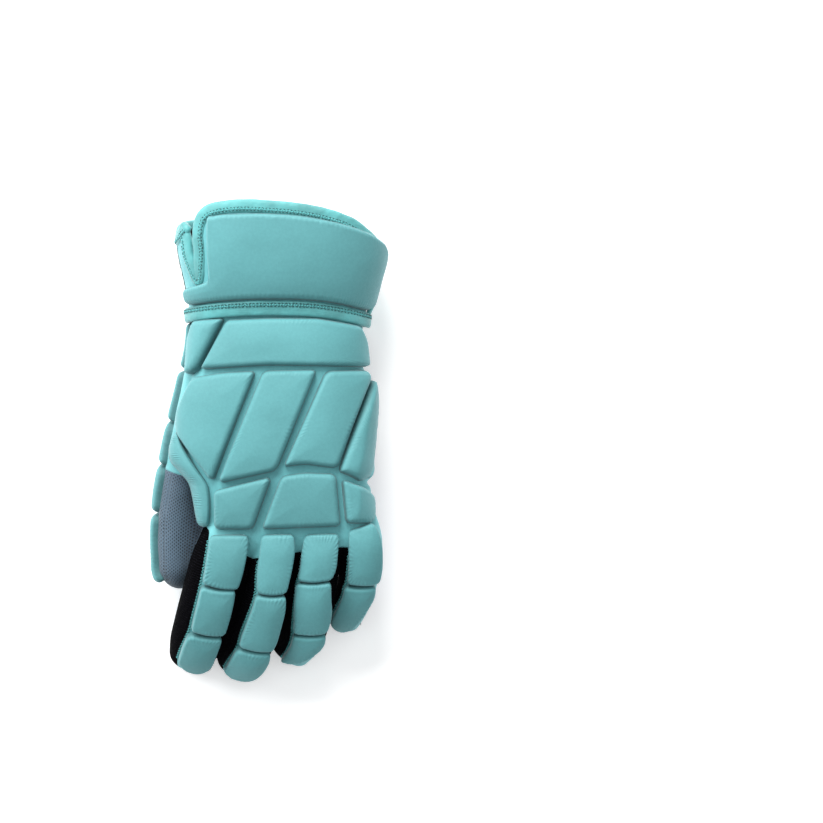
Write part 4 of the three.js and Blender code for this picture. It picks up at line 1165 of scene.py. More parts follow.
def cloth_fields(points):
    """Where the hand's cloth is teal, where it is grey, and each point's place on its cloth."""
    x, y, z = points.T
    middle_x, half, top, bottom = looked_up(HAND_DENSE, y)
    middle = sum(looked_up(np.array(HAND, float), np.maximum(y, -38))[2:]) / 2
    front = np.interp(x, [-50, -44, -36, -12, 18, 48, 60], [-50, -57, -66, -79.5, -75, -71.5, -72])
    teal = np.minimum(z - (middle - 2), (y - front) * 0.8)
    right = np.interp(y, [-60, 60], [58, 46.5])
    palm_front = np.interp(x, [-20, 11, 43], [-70, -63, -56])
    grey = np.minimum.reduce([right - x, middle - z, (y - palm_front) * 0.8])
    u = x.copy()
    v = y.copy()
    nearest = np.full(len(points), 1e9)
    for name, tube in TUBES.items():
        s, across, up, off = tube.located(points).T
        lean, half_pad = FINGERS[name]["lean"], FINGERS[name]["pad"] / 2 - 1
        first = pad_side(name, 0, y) - 0.2
        last = pad_side(name, 1, y) + (9 if name == "little" else -1)
        nose = FINGER_PADS[name][-1][0][-1][1] + 1 - y
        strip = np.minimum.reduce([x - first, last - x, tube.length + 7 - s])
        strip = np.where(nose > 0, np.minimum(strip, 8 - nose), strip)
        reach = np.where(off < 24, 0, -50)
        teal = np.maximum(teal, np.minimum(strip, up) + reach)
        under = rounded_strip(across + lean, s, half_pad, 2, tube.length - 5, 6)
        grey = soft_most(grey, np.minimum(under, -up) + reach, 5.0)
        closer = (off < nearest) & (y < -50)
        u = np.where(closer, across + tube.line[0, 0], u)
        v = np.where(closer, -50 - s, v)
        nearest = np.minimum(nearest, np.where(y < -50, off, 1e9))
    sides = np.arctan2(z - (top + bottom) / 2, x - middle_x)
    on_hand = y >= -50
    wrap = np.where(on_hand, np.maximum(np.abs(x - middle_x) - half * 0.8, 0), 0)
    u = np.where(on_hand, u + np.sign(x - middle_x) * wrap * np.abs(np.sin(sides)) * 0.6, u)
    return teal, grey, np.stack([u, v], -1)


def shell(name, points, faces, uv):
    """A sheet of cloth with a wall of its own, inside it."""
    piece = mesh_piece(name, points, faces, uv, np.ones(len(points)))
    solid = piece.modifiers.new("wall", "SOLIDIFY")
    solid.thickness = CLOTH_WALL
    return piece


class GLOVE_OT_hand_cloth(bpy.types.Operator):
    """Makes the cloth of the back, the palm and the finger sides, and the thumb's sleeve"""

    bl_idname = "glove.hand_cloth"
    bl_label = "Hand cloth"

    def execute(self, context):
        points, tris = hand_form()
        teal, _, _ = cloth_fields(points)
        points, teal = snapped(points, tris, teal)
        _, grey, uv = cloth_fields(points)
        moved, grey = snapped(points, tris, grey)
        points = np.where((teal < -0.01)[:, None], moved, points)
        vents = np.full(len(points), 9.0)
        for x, y in VENTS:
            off = np.hypot(points[:, 0] - x, points[:, 1] - y) - VENT_RADIUS
            vents = np.minimum(vents, np.where(points[:, 2] < 40, off, 9.0))
        open_wrist = WRIST_CUT - points[:, 1]
        points, vents = snapped(points, tris, vents)
        points, open_wrist = snapped(points, tris, open_wrist)
        whole = (open_wrist[tris].sum(1) > 0) & (vents[tris].sum(1) > 0)
        is_teal = teal[tris].sum(1) > 0
        is_grey = grey[tris].sum(1) > 0
        parts = {
            # The back's cloth takes the lighter teal copy, painted light in the channels between the
            # pads
            "back_shell": (is_teal, "teal_base", "teal_cloth"),
            "palm": (~is_teal & is_grey, "grey_cloth", "grey_cloth"),
            "finger_gusset": (~is_teal & ~is_grey, "black_mesh", "black_mesh"),
        }
        for name, (chosen, finish, slot) in parts.items():
            where, faces, used = part_of(points, tris, chosen & whole)
            piece = shell(name + "_cloth", where, faces, uv[used])
            finished(piece, finish, slot, name)
        self.sleeve()
        return {"FINISHED"}

    def sleeve(self):
        """The thumb's sleeve: grip cloth, with teal cloth above where the thumb joins the hand."""
        tube = THUMB_TUBE
        dome = tube.dome * np.linspace(0.08, 0.985, 14) ** 0.8
        steps = np.concatenate([np.linspace(0, tube.length, 150), tube.length + dome])
        around = 112
        angles = turns(around)
        rings = [tube.point(np.full(around, d), angles, 0.0) for d in steps]
        points = np.vstack(rings)
        off = unit(points - np.repeat([r.mean(0) for r in rings], around, axis=0))
        points += off * (ripples(points, 26, 5)[:, None] * 0.4)
        *quads, _, tip = capped(points, len(steps), around)
        quads = np.array(quads)
        middle_x, half, top, bottom = looked_up(HAND_DENSE, points[:, 1])
        a = np.abs(points[:, 0] - middle_x) / (half - 3.5)
        b = np.abs(points[:, 2] - (top + bottom) / 2) / ((top - bottom) / 2 - 3.5)
        deep = (a**HAND_POWER + b**HAND_POWER < 1) & (points[:, 1] > -60)
        faces = quads[~deep[quads].all(1)]
        middle = points[faces].mean(1)
        line_z = np.interp(-middle[:, 1], -tube.line[:, 1], tube.line[:, 2])
        ring = faces.min(1) // around
        above = (steps[ring] < tube.distance_at_y(-19, 0.0, 0.0)) & (middle[:, 2] > line_z - 4)
        uv = np.stack([np.tile(angles * 17.5, len(steps)), np.repeat(-steps, around)], -1)
        parts = (
            ("thumb_sleeve_cloth", [*faces[~above], tip], "thumb_cloth", "grey_cloth"),
            ("thumb_side_cloth", [*faces[above]], "teal_base", "teal_cloth"),
        )
        for name, mine, finish, slot in parts:
            used = np.unique(np.concatenate(mine))
            index = np.full(len(points), -1)
            index[used] = np.arange(len(used))
            piece = shell(name, points[used], [index[f] for f in mine], uv[used])
            finished(piece, finish, slot, "thumb_sleeve")


class GLOVE_OT_back_pads(bpy.types.Operator):
    """Makes the padded blocks over the back of the hand and the rolled strip above the thumb"""

    bl_idname = "glove.back_pads"
    bl_label = "Back pads"

    def execute(self, context):
        sizes = context.scene.glove_sizes
        for seed, (name, (corner, outline, creases)) in enumerate(BACK_PADS.items(), 1):
            piece = pillow(
                name + "_foam", outline, corner, shoulder_point, PAD_LIFT, sizes, creases, seed
            )
            finished(piece, "teal_cloth", "teal_cloth", name, padded=PAD_FILL)
        self.web_roll()
        return {"FINISHED"}

    def web_roll(self):
        """The roll above the thumb: high along the hand, it falls in small folds to the grip."""
        count = 260
        rows = smooth_rows(WEB_ROLL, np.linspace(0, len(WEB_ROLL) - 1, count))
        outer = np.stack([rows[:, 0], rows[:, 1], rows[:, 4]], -1)
        inner = np.stack([rows[:, 2], rows[:, 3], rows[:, 5]], -1)
        run = lengths(inner)
        angle = np.linspace(-0.5, 1.0, 40) * np.pi / 2
        across = 0.2 + 0.8 * np.sin(np.maximum(angle, 0))
        across = np.where(angle < 0, 0.2 * (1 + np.sin(angle) / np.sin(np.pi / 4)), across)
        fall = 1 - np.cos(angle)
        drop = np.where(angle < 0, fall * 3.4 / (1 - np.cos(np.pi / 4)), 0)
        ends = np.clip(np.minimum(run, run[-1] - run) / 4.5, 0, 1)
        close = np.sqrt(1 - (1 - ends) ** 2)[:, None]
        height = inner[:, None, 2] - drop[None]
        deep = (inner[:, 2] - outer[:, 2])[:, None] * np.where(angle < 0, 0, fall)[None]
        z = height - deep - (1 - close) * 4.5
        folds = 1 - np.abs(np.sin(run * np.pi / 1.7 + 0.9 * np.sin(run / 4)))
        pull = np.clip((across - 0.35) / 0.45, 0, 1)[None]
        z = z + 0.95 * (folds[:, None] - 0.4) * pull * (0.6 + 0.4 * np.sin(run / 2.7))[:, None]
        middle = (inner + outer) / 2
        flat = inner[:, None, :2] * (1 - across[None, :, None]) + outer[:, None, :2] * (
            across[None, :, None]
        )
        flat = middle[:, None, :2] + (flat - middle[:, None, :2]) * (0.35 + 0.65 * close[..., None])
        top = np.concatenate([flat, z[..., None]], -1)
        base = top.copy()
        base[..., 2] = np.minimum(base[..., 2] - 2.5, inner[:, None, 2] - 7)
        inward = inner[:, None, :2] * 0.7 + middle[:, None, :2] * 0.3
        base[..., :2] = base[..., :2] * 0.8 + inward * 0.2
        points, faces = closed_wall(top, base)
        uv = np.stack([np.repeat(run, 40), np.tile(across * 14, count)], -1)
        edge = np.tile(np.clip(np.minimum(across, 1 - across) * 2.4, 0, 1), count)
        edge = np.concatenate([edge, 0 * edge])
        piece = mesh_piece("thumb_web_roll", points, faces, np.vstack([uv, uv]), edge)
        finished(piece, "teal_cloth", "teal_cloth", "thumb_web_pad", padded=0.8)


class GLOVE_OT_finger_pads(bpy.types.Operator):
    """Makes the padded blocks along the fingers"""

    bl_idname = "glove.finger_pads"
    bl_label = "Finger pads"

    def execute(self, context):
        sizes = context.scene.glove_sizes
        for k, (finger, tube) in enumerate(TUBES.items()):
            for i, (left, right, nose) in enumerate(FINGER_PADS[finger]):
                seen = self.seen_outline(left, right, nose, i)
                piece = pillow(
                    f"{finger}_pad_{i + 1}_foam",
                    tube_outline(tube, seen, PAD_LIFT * 0.55),
                    6 if nose else 3.4,
                    lambda u, v, lift, t=tube: t.pad_point(v, u, lift),
                    PAD_LIFT,
                    sizes,
                    seed=20 + 5 * k + i,
                    gathers=lambda u, v: np.clip((-u - 1) / 7, 0, 1),
                )
                finished(piece, "teal_cloth", "teal_cloth", f"{finger}_pad_{i + 1}", padded=PAD_FILL)
        return {"FINISHED"}

    def seen_outline(self, left, right, nose, number):
        """A pad's outline seen from above. The joints between pads bow toward the tip."""
        left = np.array(left, float)
        right = np.array(right, float)
        right[right[:, 0] < 45, 0] += 1.1
        for side in (left, right):
            side[0, 1] += JOINT_START if number else 0
            side[-1, 1] -= 0 if nose else JOINT_END
        top = [(left[0] + right[0]) / 2 - (0, JOINT_BOW)] if number else []
        end = nose or [(left[-1] + right[-1]) / 2 - (0, JOINT_BOW)]
        return [*top, *right, *end, *left[::-1]]


class GLOVE_OT_thumb_pads(bpy.types.Operator):
    """Makes the padded blocks round the outside of the thumb"""

    bl_idname = "glove.thumb_pads"
    bl_label = "Thumb pads"

    def execute(self, context):
        sizes = context.scene.glove_sizes
        tube = THUMB_TUBE
        joints = []
        for ys, outer in zip(THUMB_SPLITS, THUMB_OUTER_SIDE):
            sides = zip(ys, (THUMB_PALM_SIDE, outer))
            joints.append([(u, tube.distance_at_y(y, u, THUMB_PAD_LIFT)) for y, u in sides])
        for i, ((a, b), (c, d)) in enumerate(zip(joints, joints[1:]), 1):
            outline = np.array([a, b, d, c]) + np.outer([1, 1, -1, -1], [0, THUMB_GAP])
            piece = pillow(
                f"thumb_pad_{i}_foam",
                outline,
                4.5,
                lambda u, v, lift: tube.pad_point(v, u, lift),
                THUMB_PAD_LIFT,
                sizes,
                seed=59 + i,
            )
            finished(piece, "teal_cloth", "teal_cloth", f"thumb_pad_{i}", padded=PAD_FILL)
        return {"FINISHED"}


# The cuff


def edge_rows(inset, count=900):
    """Degrees and y along the cuff's free edge, moved into the cloth by inset millimetres."""
    table = np.array(CUFF_EDGE, float)
    degrees, y = table.T
    a = cuff_point(degrees + 1, y, 0.0)
    b = cuff_point(degrees - 1, y, 0.0)
    local = np.linalg.norm(a - b, axis=1) / 2
    moved = []
    for i in range(len(table)):
        here = np.array([degrees[i], y[i]])

        def flat(j):
            return (table[j] - here) * [local[i], 1]

        before = flat(i - 1) if i else -flat(1)
        after = flat(i + 1) if i + 1 < len(table) else -before
        into, out = unit(-before), unit(after)
        along = unit(into + out)
        stretch = -inset / max(along @ out, 0.6)
        step = np.array([-along[1], along[0]]) * stretch
        moved.append(here + step / [local[i], 1])
    rough = smooth_rows(moved, np.linspace(0, len(table) - 1, count * 2))
    run = lengths(rough * [1.2, 1])
    even = np.linspace(0, run[-1], count)
    return np.stack([np.interp(even, run, rough[:, k]) for k in range(2)], -1)


def cuff_grid(degrees, low, high, rows):
    """Degrees and y of rows of points round the cuff, between a low and a high y."""
    t = np.linspace(0, 1, rows)[:, None]
    y = low * (1 - t) + high * t + 0 * degrees
    return np.broadcast_to(degrees, y.shape), y


class GLOVE_OT_cuff(bpy.types.Operator):
    """Makes the cuff's wall, its lining and label, and the raised pad on its back"""

    bl_idname = "glove.cuff"
    bl_label = "Cuff"

    def execute(self, context):
        inset = edge_rows(context.scene.glove_sizes.tape_width * 500)
        first, last = CUFF_ENDS
        degrees = np.arange(first, last + 0.25, 0.5)
        (top,) = looked_up(inset, degrees)
        d, y = cuff_grid(degrees, CUFF_START, top, 44)
        walls = [
            ("cuff_wall", 0.0, -CUFF_WALL, "teal_base", "teal_cloth", "cuff_base"),
            ("cuff_lining_cloth", -3.4, -4.4, "black_lining", "black_mesh", "cuff_lining"),
        ]
        for name, high, low, finish, slot, node in walls:
            points, faces = closed_wall(cuff_point(d, y, high), cuff_point(d, y, low))
            uv = np.stack([d.ravel() * 1.2, y.ravel()], -1)
            piece = mesh_piece(name, points, faces, np.vstack([uv, uv]), np.ones(len(points)))
            finished(piece, finish, slot, node)
        first, last, low, high = INNER_LABEL
        d, y = cuff_grid(np.arange(first, last + 0.5), low, high, 9)
        points, faces = closed_wall(cuff_point(d, y, -4.75), cuff_point(d, y, -5.35))
        piece = mesh_piece("inner_label", points, faces)
        finished(piece, "white_label", "white_label", "inner_tag")
        self.pad(context.scene.glove_sizes)
        return {"FINISHED"}

    def pad(self, sizes):
        """The pad on the back of the cuff, with its upper corner drawn out to a point."""
        table = np.array(CUFF_PAD, float)
        degrees = np.arange(table[0, 0], table[-1, 0] + 0.01, 0.5)
        places = np.interp(degrees, table[:, 0], np.arange(len(table)))
        low, high = smooth_rows(table[:, 1:], places).T
        low = low + seam_bow(degrees)
        radius = 5.0
        for end in (degrees[0], degrees[-1]):
            near = np.minimum(np.abs(degrees - end) * CUFF_MM_PER_DEGREE, radius)
            cut = radius - np.sqrt(radius**2 - (radius - near) ** 2)
            cut = np.minimum(cut, (high - low) / 2 - 0.05)
            low = low + cut
            high = high - cut
        u = degrees * CUFF_MM_PER_DEGREE
        outline = np.vstack([np.stack([u, low], -1), np.stack([u, high], -1)[::-1]])
        steps = np.array([0, 0.25, 0.6, 1.0, 1.5, 2.1, 2.8, 3.6, 4.6, 5.8])
        scale = np.minimum((high - low) / 2 / 6.5, 1)
        lower = low + steps[:, None] * scale
        upper = high - steps[::-1, None] * scale
        t = np.linspace(0, 1, 26)[1:-1, None]
        y = np.vstack([lower, lower[-1] * (1 - t) + upper[0] * t, upper])
        flat = np.stack([np.broadcast_to(u, y.shape).ravel(), y.ravel()], -1)
        inset = distance_inside(flat, outline)
        height = CUFF_PAD_LIFT * roll_height(inset, sizes.pad_roll * 1000, 0.02)
        height += np.sin(np.clip(inset / 24, 0, 1) * np.pi / 2)
        folds = np.sin(flat[:, 0] * 2 * np.pi / 3.3 + 2 * np.sin(flat[:, 0] / 9))
        height += sizes.pucker * 700 * np.exp(-(((inset - 2.2) / 2) ** 2)) * folds

        def sheet(lift):
            return cuff_point(flat[:, 0] / CUFF_MM_PER_DEGREE, flat[:, 1], lift)

        height = height + ripples(sheet(height), 55, 9) * 0.45 * roll_height(inset, 8)
        shape = (*y.shape, 3)
        points, faces = closed_wall(sheet(height).reshape(shape), sheet(-0.6).reshape(shape))
        edge = np.concatenate([np.clip(inset / 7, 0, 1), 0 * inset])
        piece = mesh_piece("cuff_pad_foam", points, faces, np.vstack([flat, flat]), edge)
        finished(piece, "teal_cloth", "teal_cloth", "cuff_pad", padded=PAD_FILL)


class GLOVE_OT_tapes(bpy.types.Operator):
    """Makes the tape round the cuff's free edge and round the wrist joint"""

    bl_idname = "glove.tapes"
    bl_label = "Tapes"

    def execute(self, context):
        width = context.scene.glove_sizes.tape_width * 1000
        degrees, y = edge_rows(width / 2 - 0.4).T
        path = cuff_point(degrees, y, -CUFF_WALL / 2)
        wave = 1 + 0.05 * ripples(path, 9, 3)
        piece = swept(
            "cuff_tape", path, cuff_normal(degrees, y), width * wave, 5.3 * wave, power=2.7
        )
        finished(piece, "teal_tape", "teal_tape", "cuff_binding")
        start, end = WRIST_TAPE
        around, sides = 720, 22
        angles = np.degrees(turns(around))
        across, up = section_point((end - start) / 2, 1.9, 2.5, turns(sides), 0)
        b = (start + end) / 2 + across + seam_bow(angles)[:, None]
        a = np.repeat(angles[:, None], sides, 1)
        points = cuff_point(a, np.maximum(b, CUFF[0][0]), 1.7 + up)
        points[..., 1] = b
        points = points.reshape(-1, 3)
        points = points + ripples(points, 10, 4)[:, None] * [0.1, 0.12, 0.14]
        faces = turned_out(points, grid_faces(around, sides, close_columns=True, close_rows=True))
        rows = np.tile(np.arange(sides), around)
        uv = np.stack([a.ravel(), rows], -1) * 1.1
        piece = mesh_piece("wrist_tape", points, faces, uv)
        finished(piece, "teal_tape", "teal_tape", "wrist_binding")
        self.tape_end()
        return {"FINISHED"}

    def tape_end(self):
        """The folded end of the wrist tape, which stands out at the little finger's side."""
        count = 40
        path = dense_rows([(63, 77.5, 33), (65, 82, 34), (66.8, 88, 35), (70.5, 95.5, 36)], count)
        normals = np.tile([0.93, -0.36, 0.0], (count, 1))
        i = np.arange(count)
        ends = np.clip(np.minimum(i, i[::-1] + 3) / 6, 0.2, 1)
        piece = swept("wrist_tape_end", path, normals, 9.0 * ends, 3.6 * ends, power=2.6)
        finished(piece, "teal_tape", "teal_tape")


class GLOVE_OT_strap(bpy.types.Operator):
    """Makes the loop panel, the ribbed elastic strap and the patch at its end"""

    bl_idname = "glove.strap"
    bl_label = "Strap"

    def execute(self, context):
        first, last, low, high = LOOP_PANEL
        rng = np.random.default_rng(11)
        d, y = cuff_grid(np.arange(first, last + 0.25, 0.5), low, high, 60)
        pile = 1.15 + rng.uniform(-0.22, 0.28, d.shape)
        points, faces = closed_wall(cuff_point(d, y, pile), cuff_point(d, y, 0.2))
        piece = mesh_piece("loop_pile", points, faces)
        finished(piece, "black_loop", "black_loop", "loop_panel")
        self.band("elastic_strap", STRAP, 1.9, 3.15, 0.25, "black_elastic", "strap")
        self.band("strap_patch", TAB, 1.9, 3.75, 0.0, "navy_patch", "strap_tab")
        return {"FINISHED"}

    def band(self, name, rows, low, high, rib, finish, node):
        """A band round the cuff, cut short where it reaches the free edge."""
        degrees = np.arange(rows[0][0], rows[-1][0] + 0.01, 0.5)
        y, wide = looked_up(dense_rows(rows), degrees)
        wrapped = np.where(degrees > 322, degrees - 360, degrees)
        most = np.interp(wrapped, *zip(*CUFF_EDGE)) - 2.5
        start, end = y - wide / 2, np.minimum(y + wide / 2, most)
        d, y = cuff_grid(degrees, start, end, 121)
        across = y - (start + end) / 2
        off_edge = (end - start) / 2 - np.abs(across)
        round_edge = 1 - np.clip(1 - off_edge / 0.9, 0, 1) ** 2 * 0.5
        lift = low + (high - low) * round_edge + rib * np.abs(np.sin(np.pi * across / 1.55))
        points, faces = closed_wall(cuff_point(d, y, lift), cuff_point(d, y, low))
        piece = mesh_piece(name, points, faces)
        finished(piece, finish, finish, node)


# Stitches


def stitch_tree():
    """A node tree that lays stitches along the lines of a mesh, pointing off the cloth."""
    tree = bpy.data.node_groups.new("stitches", "GeometryNodeTree")
    sockets = [("Lines", "Geometry"), ("Thread Material", "Material")]
    sockets += [(name, "Float") for name in ("Pitch", "Length", "Thread", "Slant")]
    for name, kind in sockets:
        tree.interface.new_socket(name, in_out="INPUT", socket_type="NodeSocket" + kind)
    tree.interface.new_socket("Stitches", in_out="OUTPUT", socket_type="NodeSocketGeometry")

    def add(kind, inputs=(), **settings):
        """A node with its settings, whose inputs are linked to sockets or set to values."""
        node = tree.nodes.new(kind)
        for name, value in settings.items():
            setattr(node, name, value)
        for name, value in dict(inputs).items():
            if isinstance(value, bpy.types.NodeSocket):
                tree.links.new(value, node.inputs[name])
            else:
                node.inputs[name].default_value = value
        return node.outputs

    def add_math(operation, *values):
        return add("ShaderNodeMath", enumerate(values), operation=operation)[0]

    given = add("NodeGroupInput")
    curve = add("GeometryNodeMeshToCurve", {"Mesh": given["Lines"]})[0]
    spread = {"Curve": curve, "Length": given["Pitch"]}
    even = add("GeometryNodeResampleCurve", spread, mode="LENGTH")[0]
    along = add("GeometryNodeInputTangent")[0]
    off_cloth = add(
        "GeometryNodeInputNamedAttribute", {"Name": "off_cloth"}, data_type="FLOAT_VECTOR"
    )["Attribute"]
    align = "FunctionNodeAlignRotationToVector"
    first = add(align, {"Vector": along}, axis="X")[0]
    second = add(align, {"Rotation": first, "Vector": off_cloth}, axis="Z", pivot_axis="X")[0]
    odd = add_math("MODULO", add("GeometryNodeInputIndex")[0], 2.0)
    slant = add_math("MULTIPLY", add_math("MULTIPLY_ADD", odd, 2.0, -1.0), given["Slant"])
    turn = add("FunctionNodeEulerToRotation", {0: add("ShaderNodeCombineXYZ", {"Z": slant})[0]})
    turned = add("FunctionNodeRotateRotation", {0: second, 1: turn[0]}, rotation_space="LOCAL")
    bead = add("GeometryNodeMeshUVSphere", {"Segments": 6, "Rings": 5, "Radius": 0.5})["Mesh"]
    thread = given["Thread"]
    size = add("ShaderNodeCombineXYZ", {"X": given["Length"], "Y": thread, "Z": thread})[0]
    laid = {"Points": even, "Instance": bead, "Rotation": turned[0], "Scale": size}
    lay = add("GeometryNodeInstanceOnPoints", laid)[0]
    real = add("GeometryNodeRealizeInstances", {0: lay})[0]
    dressed = {"Geometry": real, "Material": given["Thread Material"]}
    add("NodeGroupOutput", {0: add("GeometryNodeSetMaterial", dressed)[0]})
    return tree


def sewn(name, lines, finish, slot, pitch, length, thread, slant=0.0):
    """Stitches along lines, each given as its points and the directions off the cloth there."""
    points = np.vstack([p for p, _ in lines])
    normals = unit(np.vstack([n for _, n in lines]))
    mesh = bpy.data.meshes.new(name + "_lines")
    edges = []
    start = 0
    for p, _ in lines:
        edges += [(start + i, start + i + 1) for i in range(len(p) - 1)]
        start += len(p)
    mesh.from_pydata(((points + SHIFT) / 1000).tolist(), edges, [])
    attribute = mesh.attributes.new("off_cloth", "FLOAT_VECTOR", "POINT")
    attribute.data.foreach_set("vector", normals.astype(np.float32).ravel())
    guide = placed(name + "_guide", mesh)
    tree = bpy.data.node_groups.get("stitches") or stitch_tree()
    layer = guide.modifiers.new("stitches", "NODES")
    layer.node_group = tree
    ids = {
        item.name: item.identifier
        for item in tree.interface.items_tree
        if item.item_type == "SOCKET" and item.in_out == "INPUT"
    }
    layer[ids["Pitch"]] = pitch / 1000
    layer[ids["Length"]] = length / 1000
    layer[ids["Thread"]] = thread / 1000
    layer[ids["Slant"]] = slant
    layer[ids["Thread Material"]] = material(finish)
    evaluated = guide.evaluated_get(bpy.context.evaluated_depsgraph_get())
    made = bpy.data.meshes.new_from_object(evaluated)
    if not made.polygons:
        raise RuntimeError(f"{name} has no stitches")
    made.shade_smooth()
    bpy.data.objects.remove(guide)
    return finished(placed(name, made), finish, slot)


def surface_line(surface, u, v, lift):
    """Points and directions off the cloth along a line on a surface."""
    at = surface(u, v, np.full(len(u), lift))
    return at, surface(u, v, np.full(len(u), lift + 1.0)) - at


class GLOVE_OT_stitches(bpy.types.Operator):
    """Sews the tapes, the finger edges, the palm's seam and the strap's patch, and lays painted shade
    beside the tapes' stitches
    """

    bl_idname = "glove.stitches"
    bl_label = "Stitches"

    def execute(self, context):
        sizes = context.scene.glove_sizes
        pitch = sizes.stitch_pitch * 1000
        thread = sizes.thread * 1000
        tape = sizes.tape_width * 1000
        # The bright rows are the thread; the dark rows on both sides of them are painted shade, beads
        # in a darkened tape colour
        bright, dark = [], []
        for share, lift, rows in ((0.66, 1.25, bright), (0.56, 1.05, dark), (0.77, 1.05, dark)):
            degrees, y = edge_rows(tape * share, 1400).T
            rows.append(surface_line(cuff_point, degrees, y, lift))
        angles = np.linspace(0, 360, 900)
        for y, rows in ((91.2, bright), (90.2, dark), (92.2, dark)):
            bowed = y + seam_bow(angles)
            at = cuff_point(angles, np.maximum(bowed, CUFF[0][0]), 3.65)
            at[:, 1] = bowed
            rows.append((at, cuff_normal(angles, np.full(900, y))))
        sewn("tape_stitches", bright, "teal_thread", "teal_tape", pitch * 0.6, 2.2, thread, 0.7)
        # Painted shade beside the tape's stitches
        sewn("tape_shadows", dark, "dark_thread", "teal_tape", pitch * 0.8, 1.9, thread * 0.8, 0.4)
        self.fingers(thread)
        self.palm(thread)
        self.patch(thread)
        return {"FINISHED"}

    def fingers(self, thread):
        """The overlock down each finger's left side, where teal cloth meets the black mesh."""
        lines = []
        for (name, tube), start in zip(TUBES.items(), (-67, -81, -77, -73)):
            y = np.linspace(start, FINGER_PADS[name][-1][0][-1][1] + 1, 16)
            rows = tube_outline(tube, np.stack([pad_side(name, 0, y) - 0.8, y], -1), 1.5)
            u, s = dense_rows(rows, 500).T
            lines.append(surface_line(lambda a, b, w, t=tube: t.pad_point(b, a, w), u, s, 0.5))
        sewn("finger_overlock", lines, "teal_thread", "teal_cloth", 1.15, 2.3, thread * 0.6, 1.2)

    def palm(self, thread):
        """The seam under the palm, just below the hand's rounded underside."""
        x, y = dense_rows(PALM_SEAM, 300).T
        middle_x, half, top, bottom = looked_up(HAND_DENSE, y)
        share = np.clip(np.abs(x - middle_x) / half, 0, 0.999)
        rise = (1 - share**HAND_POWER) ** (1 / HAND_POWER)
        z = (top + bottom) / 2 - (top - bottom) / 2 * rise - 0.1
        at = np.stack([x, y, z], -1)
        lines = [(at, np.tile([0, 0, -1.0], (300, 1)))]
        sewn("palm_seam", lines, "grey_thread", "grey_cloth", 2.3, 1.9, thread)

    def patch(self, thread):
        """Two long rows and two short rows of stitches round the patch."""
        degrees = np.linspace(TAB[0][0] + 1.5, TAB[-1][0] - 1.5, 200)
        y, wide = looked_up(dense_rows(TAB), degrees)
        half = wide / 2 - 1.8
        rows = [(degrees, y + half), (degrees, y - half)]
        for end in (0, -1):
            ys = np.linspace(y[end] - half[end], y[end] + half[end], 60)
            rows.append((np.full(60, degrees[end]), ys))
        lines = [surface_line(cuff_point, u, v, 3.62) for u, v in rows]
        sewn("patch_stitches", lines, "black_thread", "navy_patch", 2.2, 1.7, thread * 0.5)


# The stage: the floor's half size and the height where the photo's scale holds, in metres, and
# the photo's width, its scale and its middle in the maker's frame
FLOOR = 3.0
SCALE_HEIGHT = 0.035
PHOTO_PIXELS = 823
MM_PER_PIXEL = 0.68
PHOTO_CENTRE = (95.5, 20.1, 0)


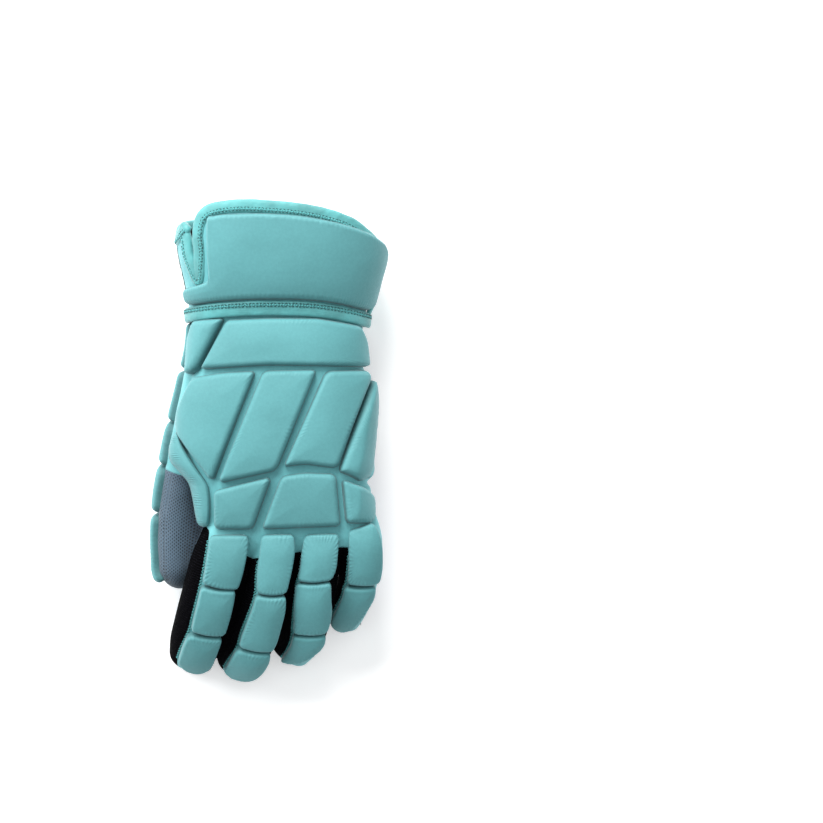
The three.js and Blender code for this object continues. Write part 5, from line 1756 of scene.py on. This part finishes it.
class GLOVE_OT_stage(bpy.types.Operator):
    """Sets the pale floor, the soft lights and the camera above the glove"""

    bl_idname = "glove.stage"
    bl_label = "Stage"

    def execute(self, context):
        scene = context.scene
        mesh = bpy.data.meshes.new("floor")
        corners = [(-FLOOR, -FLOOR, 0), (FLOOR, -FLOOR, 0), (FLOOR, FLOOR, 0), (-FLOOR, FLOOR, 0)]
        mesh.from_pydata(corners, [], [(0, 1, 2, 3)])
        n = Nodes("floor_paper")
        shade = n.ramp(n.noise(n.place(), 3, 2), 0.3, 0.7)
        tone = n.mix(shade, (0.93, 0.935, 0.94, 1), (0.95, 0.95, 0.95, 1))
        glow = {"Emission_Color": (1.0, 1.0, 1.0, 1.0), "Emission_Strength": 0.42}
        mesh.materials.append(n.cloth(tone, None, Roughness=0.9, **glow))
        floor = placed("floor", mesh)
        world = bpy.data.worlds.new("studio")
        world.use_nodes = True
        background = world.node_tree.nodes["Background"]
        background.inputs["Color"].default_value = (0.93, 0.97, 1.0, 1.0)
        background.inputs["Strength"].default_value = 0.3
        scene.world = world
        lights = [
            ("far", (-0.35, 1.55, 1.1), 1.0, 44, (1.0, 0.99, 0.97)),
            ("left", (-1.35, 0.75, 1.0), 0.9, 22, (1.0, 1.0, 1.0)),
            ("right", (1.7, -0.2, 1.3), 1.4, 3, (0.96, 0.98, 1.0)),
            ("above", (0.1, 0.1, 2.1), 1.8, 10, (1.0, 1.0, 1.0)),
        ]
        for name, place, width, power, colour in lights:
            data = bpy.data.lights.new(name, "AREA")
            data.size = width
            data.energy = power
            data.color = colour
            light = placed(name, data)
            light.location = place
            light.rotation_euler = (-Vector(place)).to_track_quat("-Z", "Y").to_euler()
        data = bpy.data.cameras.new("camera")
        data.sensor_width = 36
        data.lens = 160
        height = PHOTO_PIXELS * MM_PER_PIXEL / 1000 * data.lens / data.sensor_width
        x, y, _ = (PHOTO_CENTRE + SHIFT) / 1000
        camera = placed("camera", data)
        camera.location = (x, y, height + SCALE_HEIGHT)
        scene.camera = camera
        scene.view_settings.view_transform = "Standard"
        return {"FINISHED"}


STEPS = (
    GLOVE_OT_hand_cloth,
    GLOVE_OT_back_pads,
    GLOVE_OT_finger_pads,
    GLOVE_OT_thumb_pads,
    GLOVE_OT_cuff,
    GLOVE_OT_tapes,
    GLOVE_OT_strap,
    GLOVE_OT_stitches,
    GLOVE_OT_stage,
)


class GLOVE_PT_panel(bpy.types.Panel):
    """Lists the glove's sizes, colours and steps."""

    bl_idname = "GLOVE_PT_panel"
    bl_label = "Ball hockey glove"
    bl_space_type = "VIEW_3D"
    bl_region_type = "UI"
    bl_category = "Glove"

    def draw(self, context):
        layout = self.layout
        for group in (context.scene.glove_sizes, context.scene.glove_colours):
            box = layout.box()
            for name in group.__annotations__:
                box.prop(group, name)
        for step in STEPS:
            layout.operator(step.bl_idname)


CLASSES = (GloveSizes, GloveColours, *STEPS, GLOVE_PT_panel)


def register():
    for c in CLASSES:
        bpy.utils.register_class(c)
    bpy.types.Scene.glove_sizes = bpy.props.PointerProperty(type=GloveSizes)
    bpy.types.Scene.glove_colours = bpy.props.PointerProperty(type=GloveColours)


def unregister():
    del bpy.types.Scene.glove_colours
    del bpy.types.Scene.glove_sizes
    for c in reversed(CLASSES):
        bpy.utils.unregister_class(c)


def main():
    register()
    for step in STEPS:
        group, name = step.bl_idname.split(".")
        getattr(getattr(bpy.ops, group), name)()


if __name__ == "__main__":
    main()
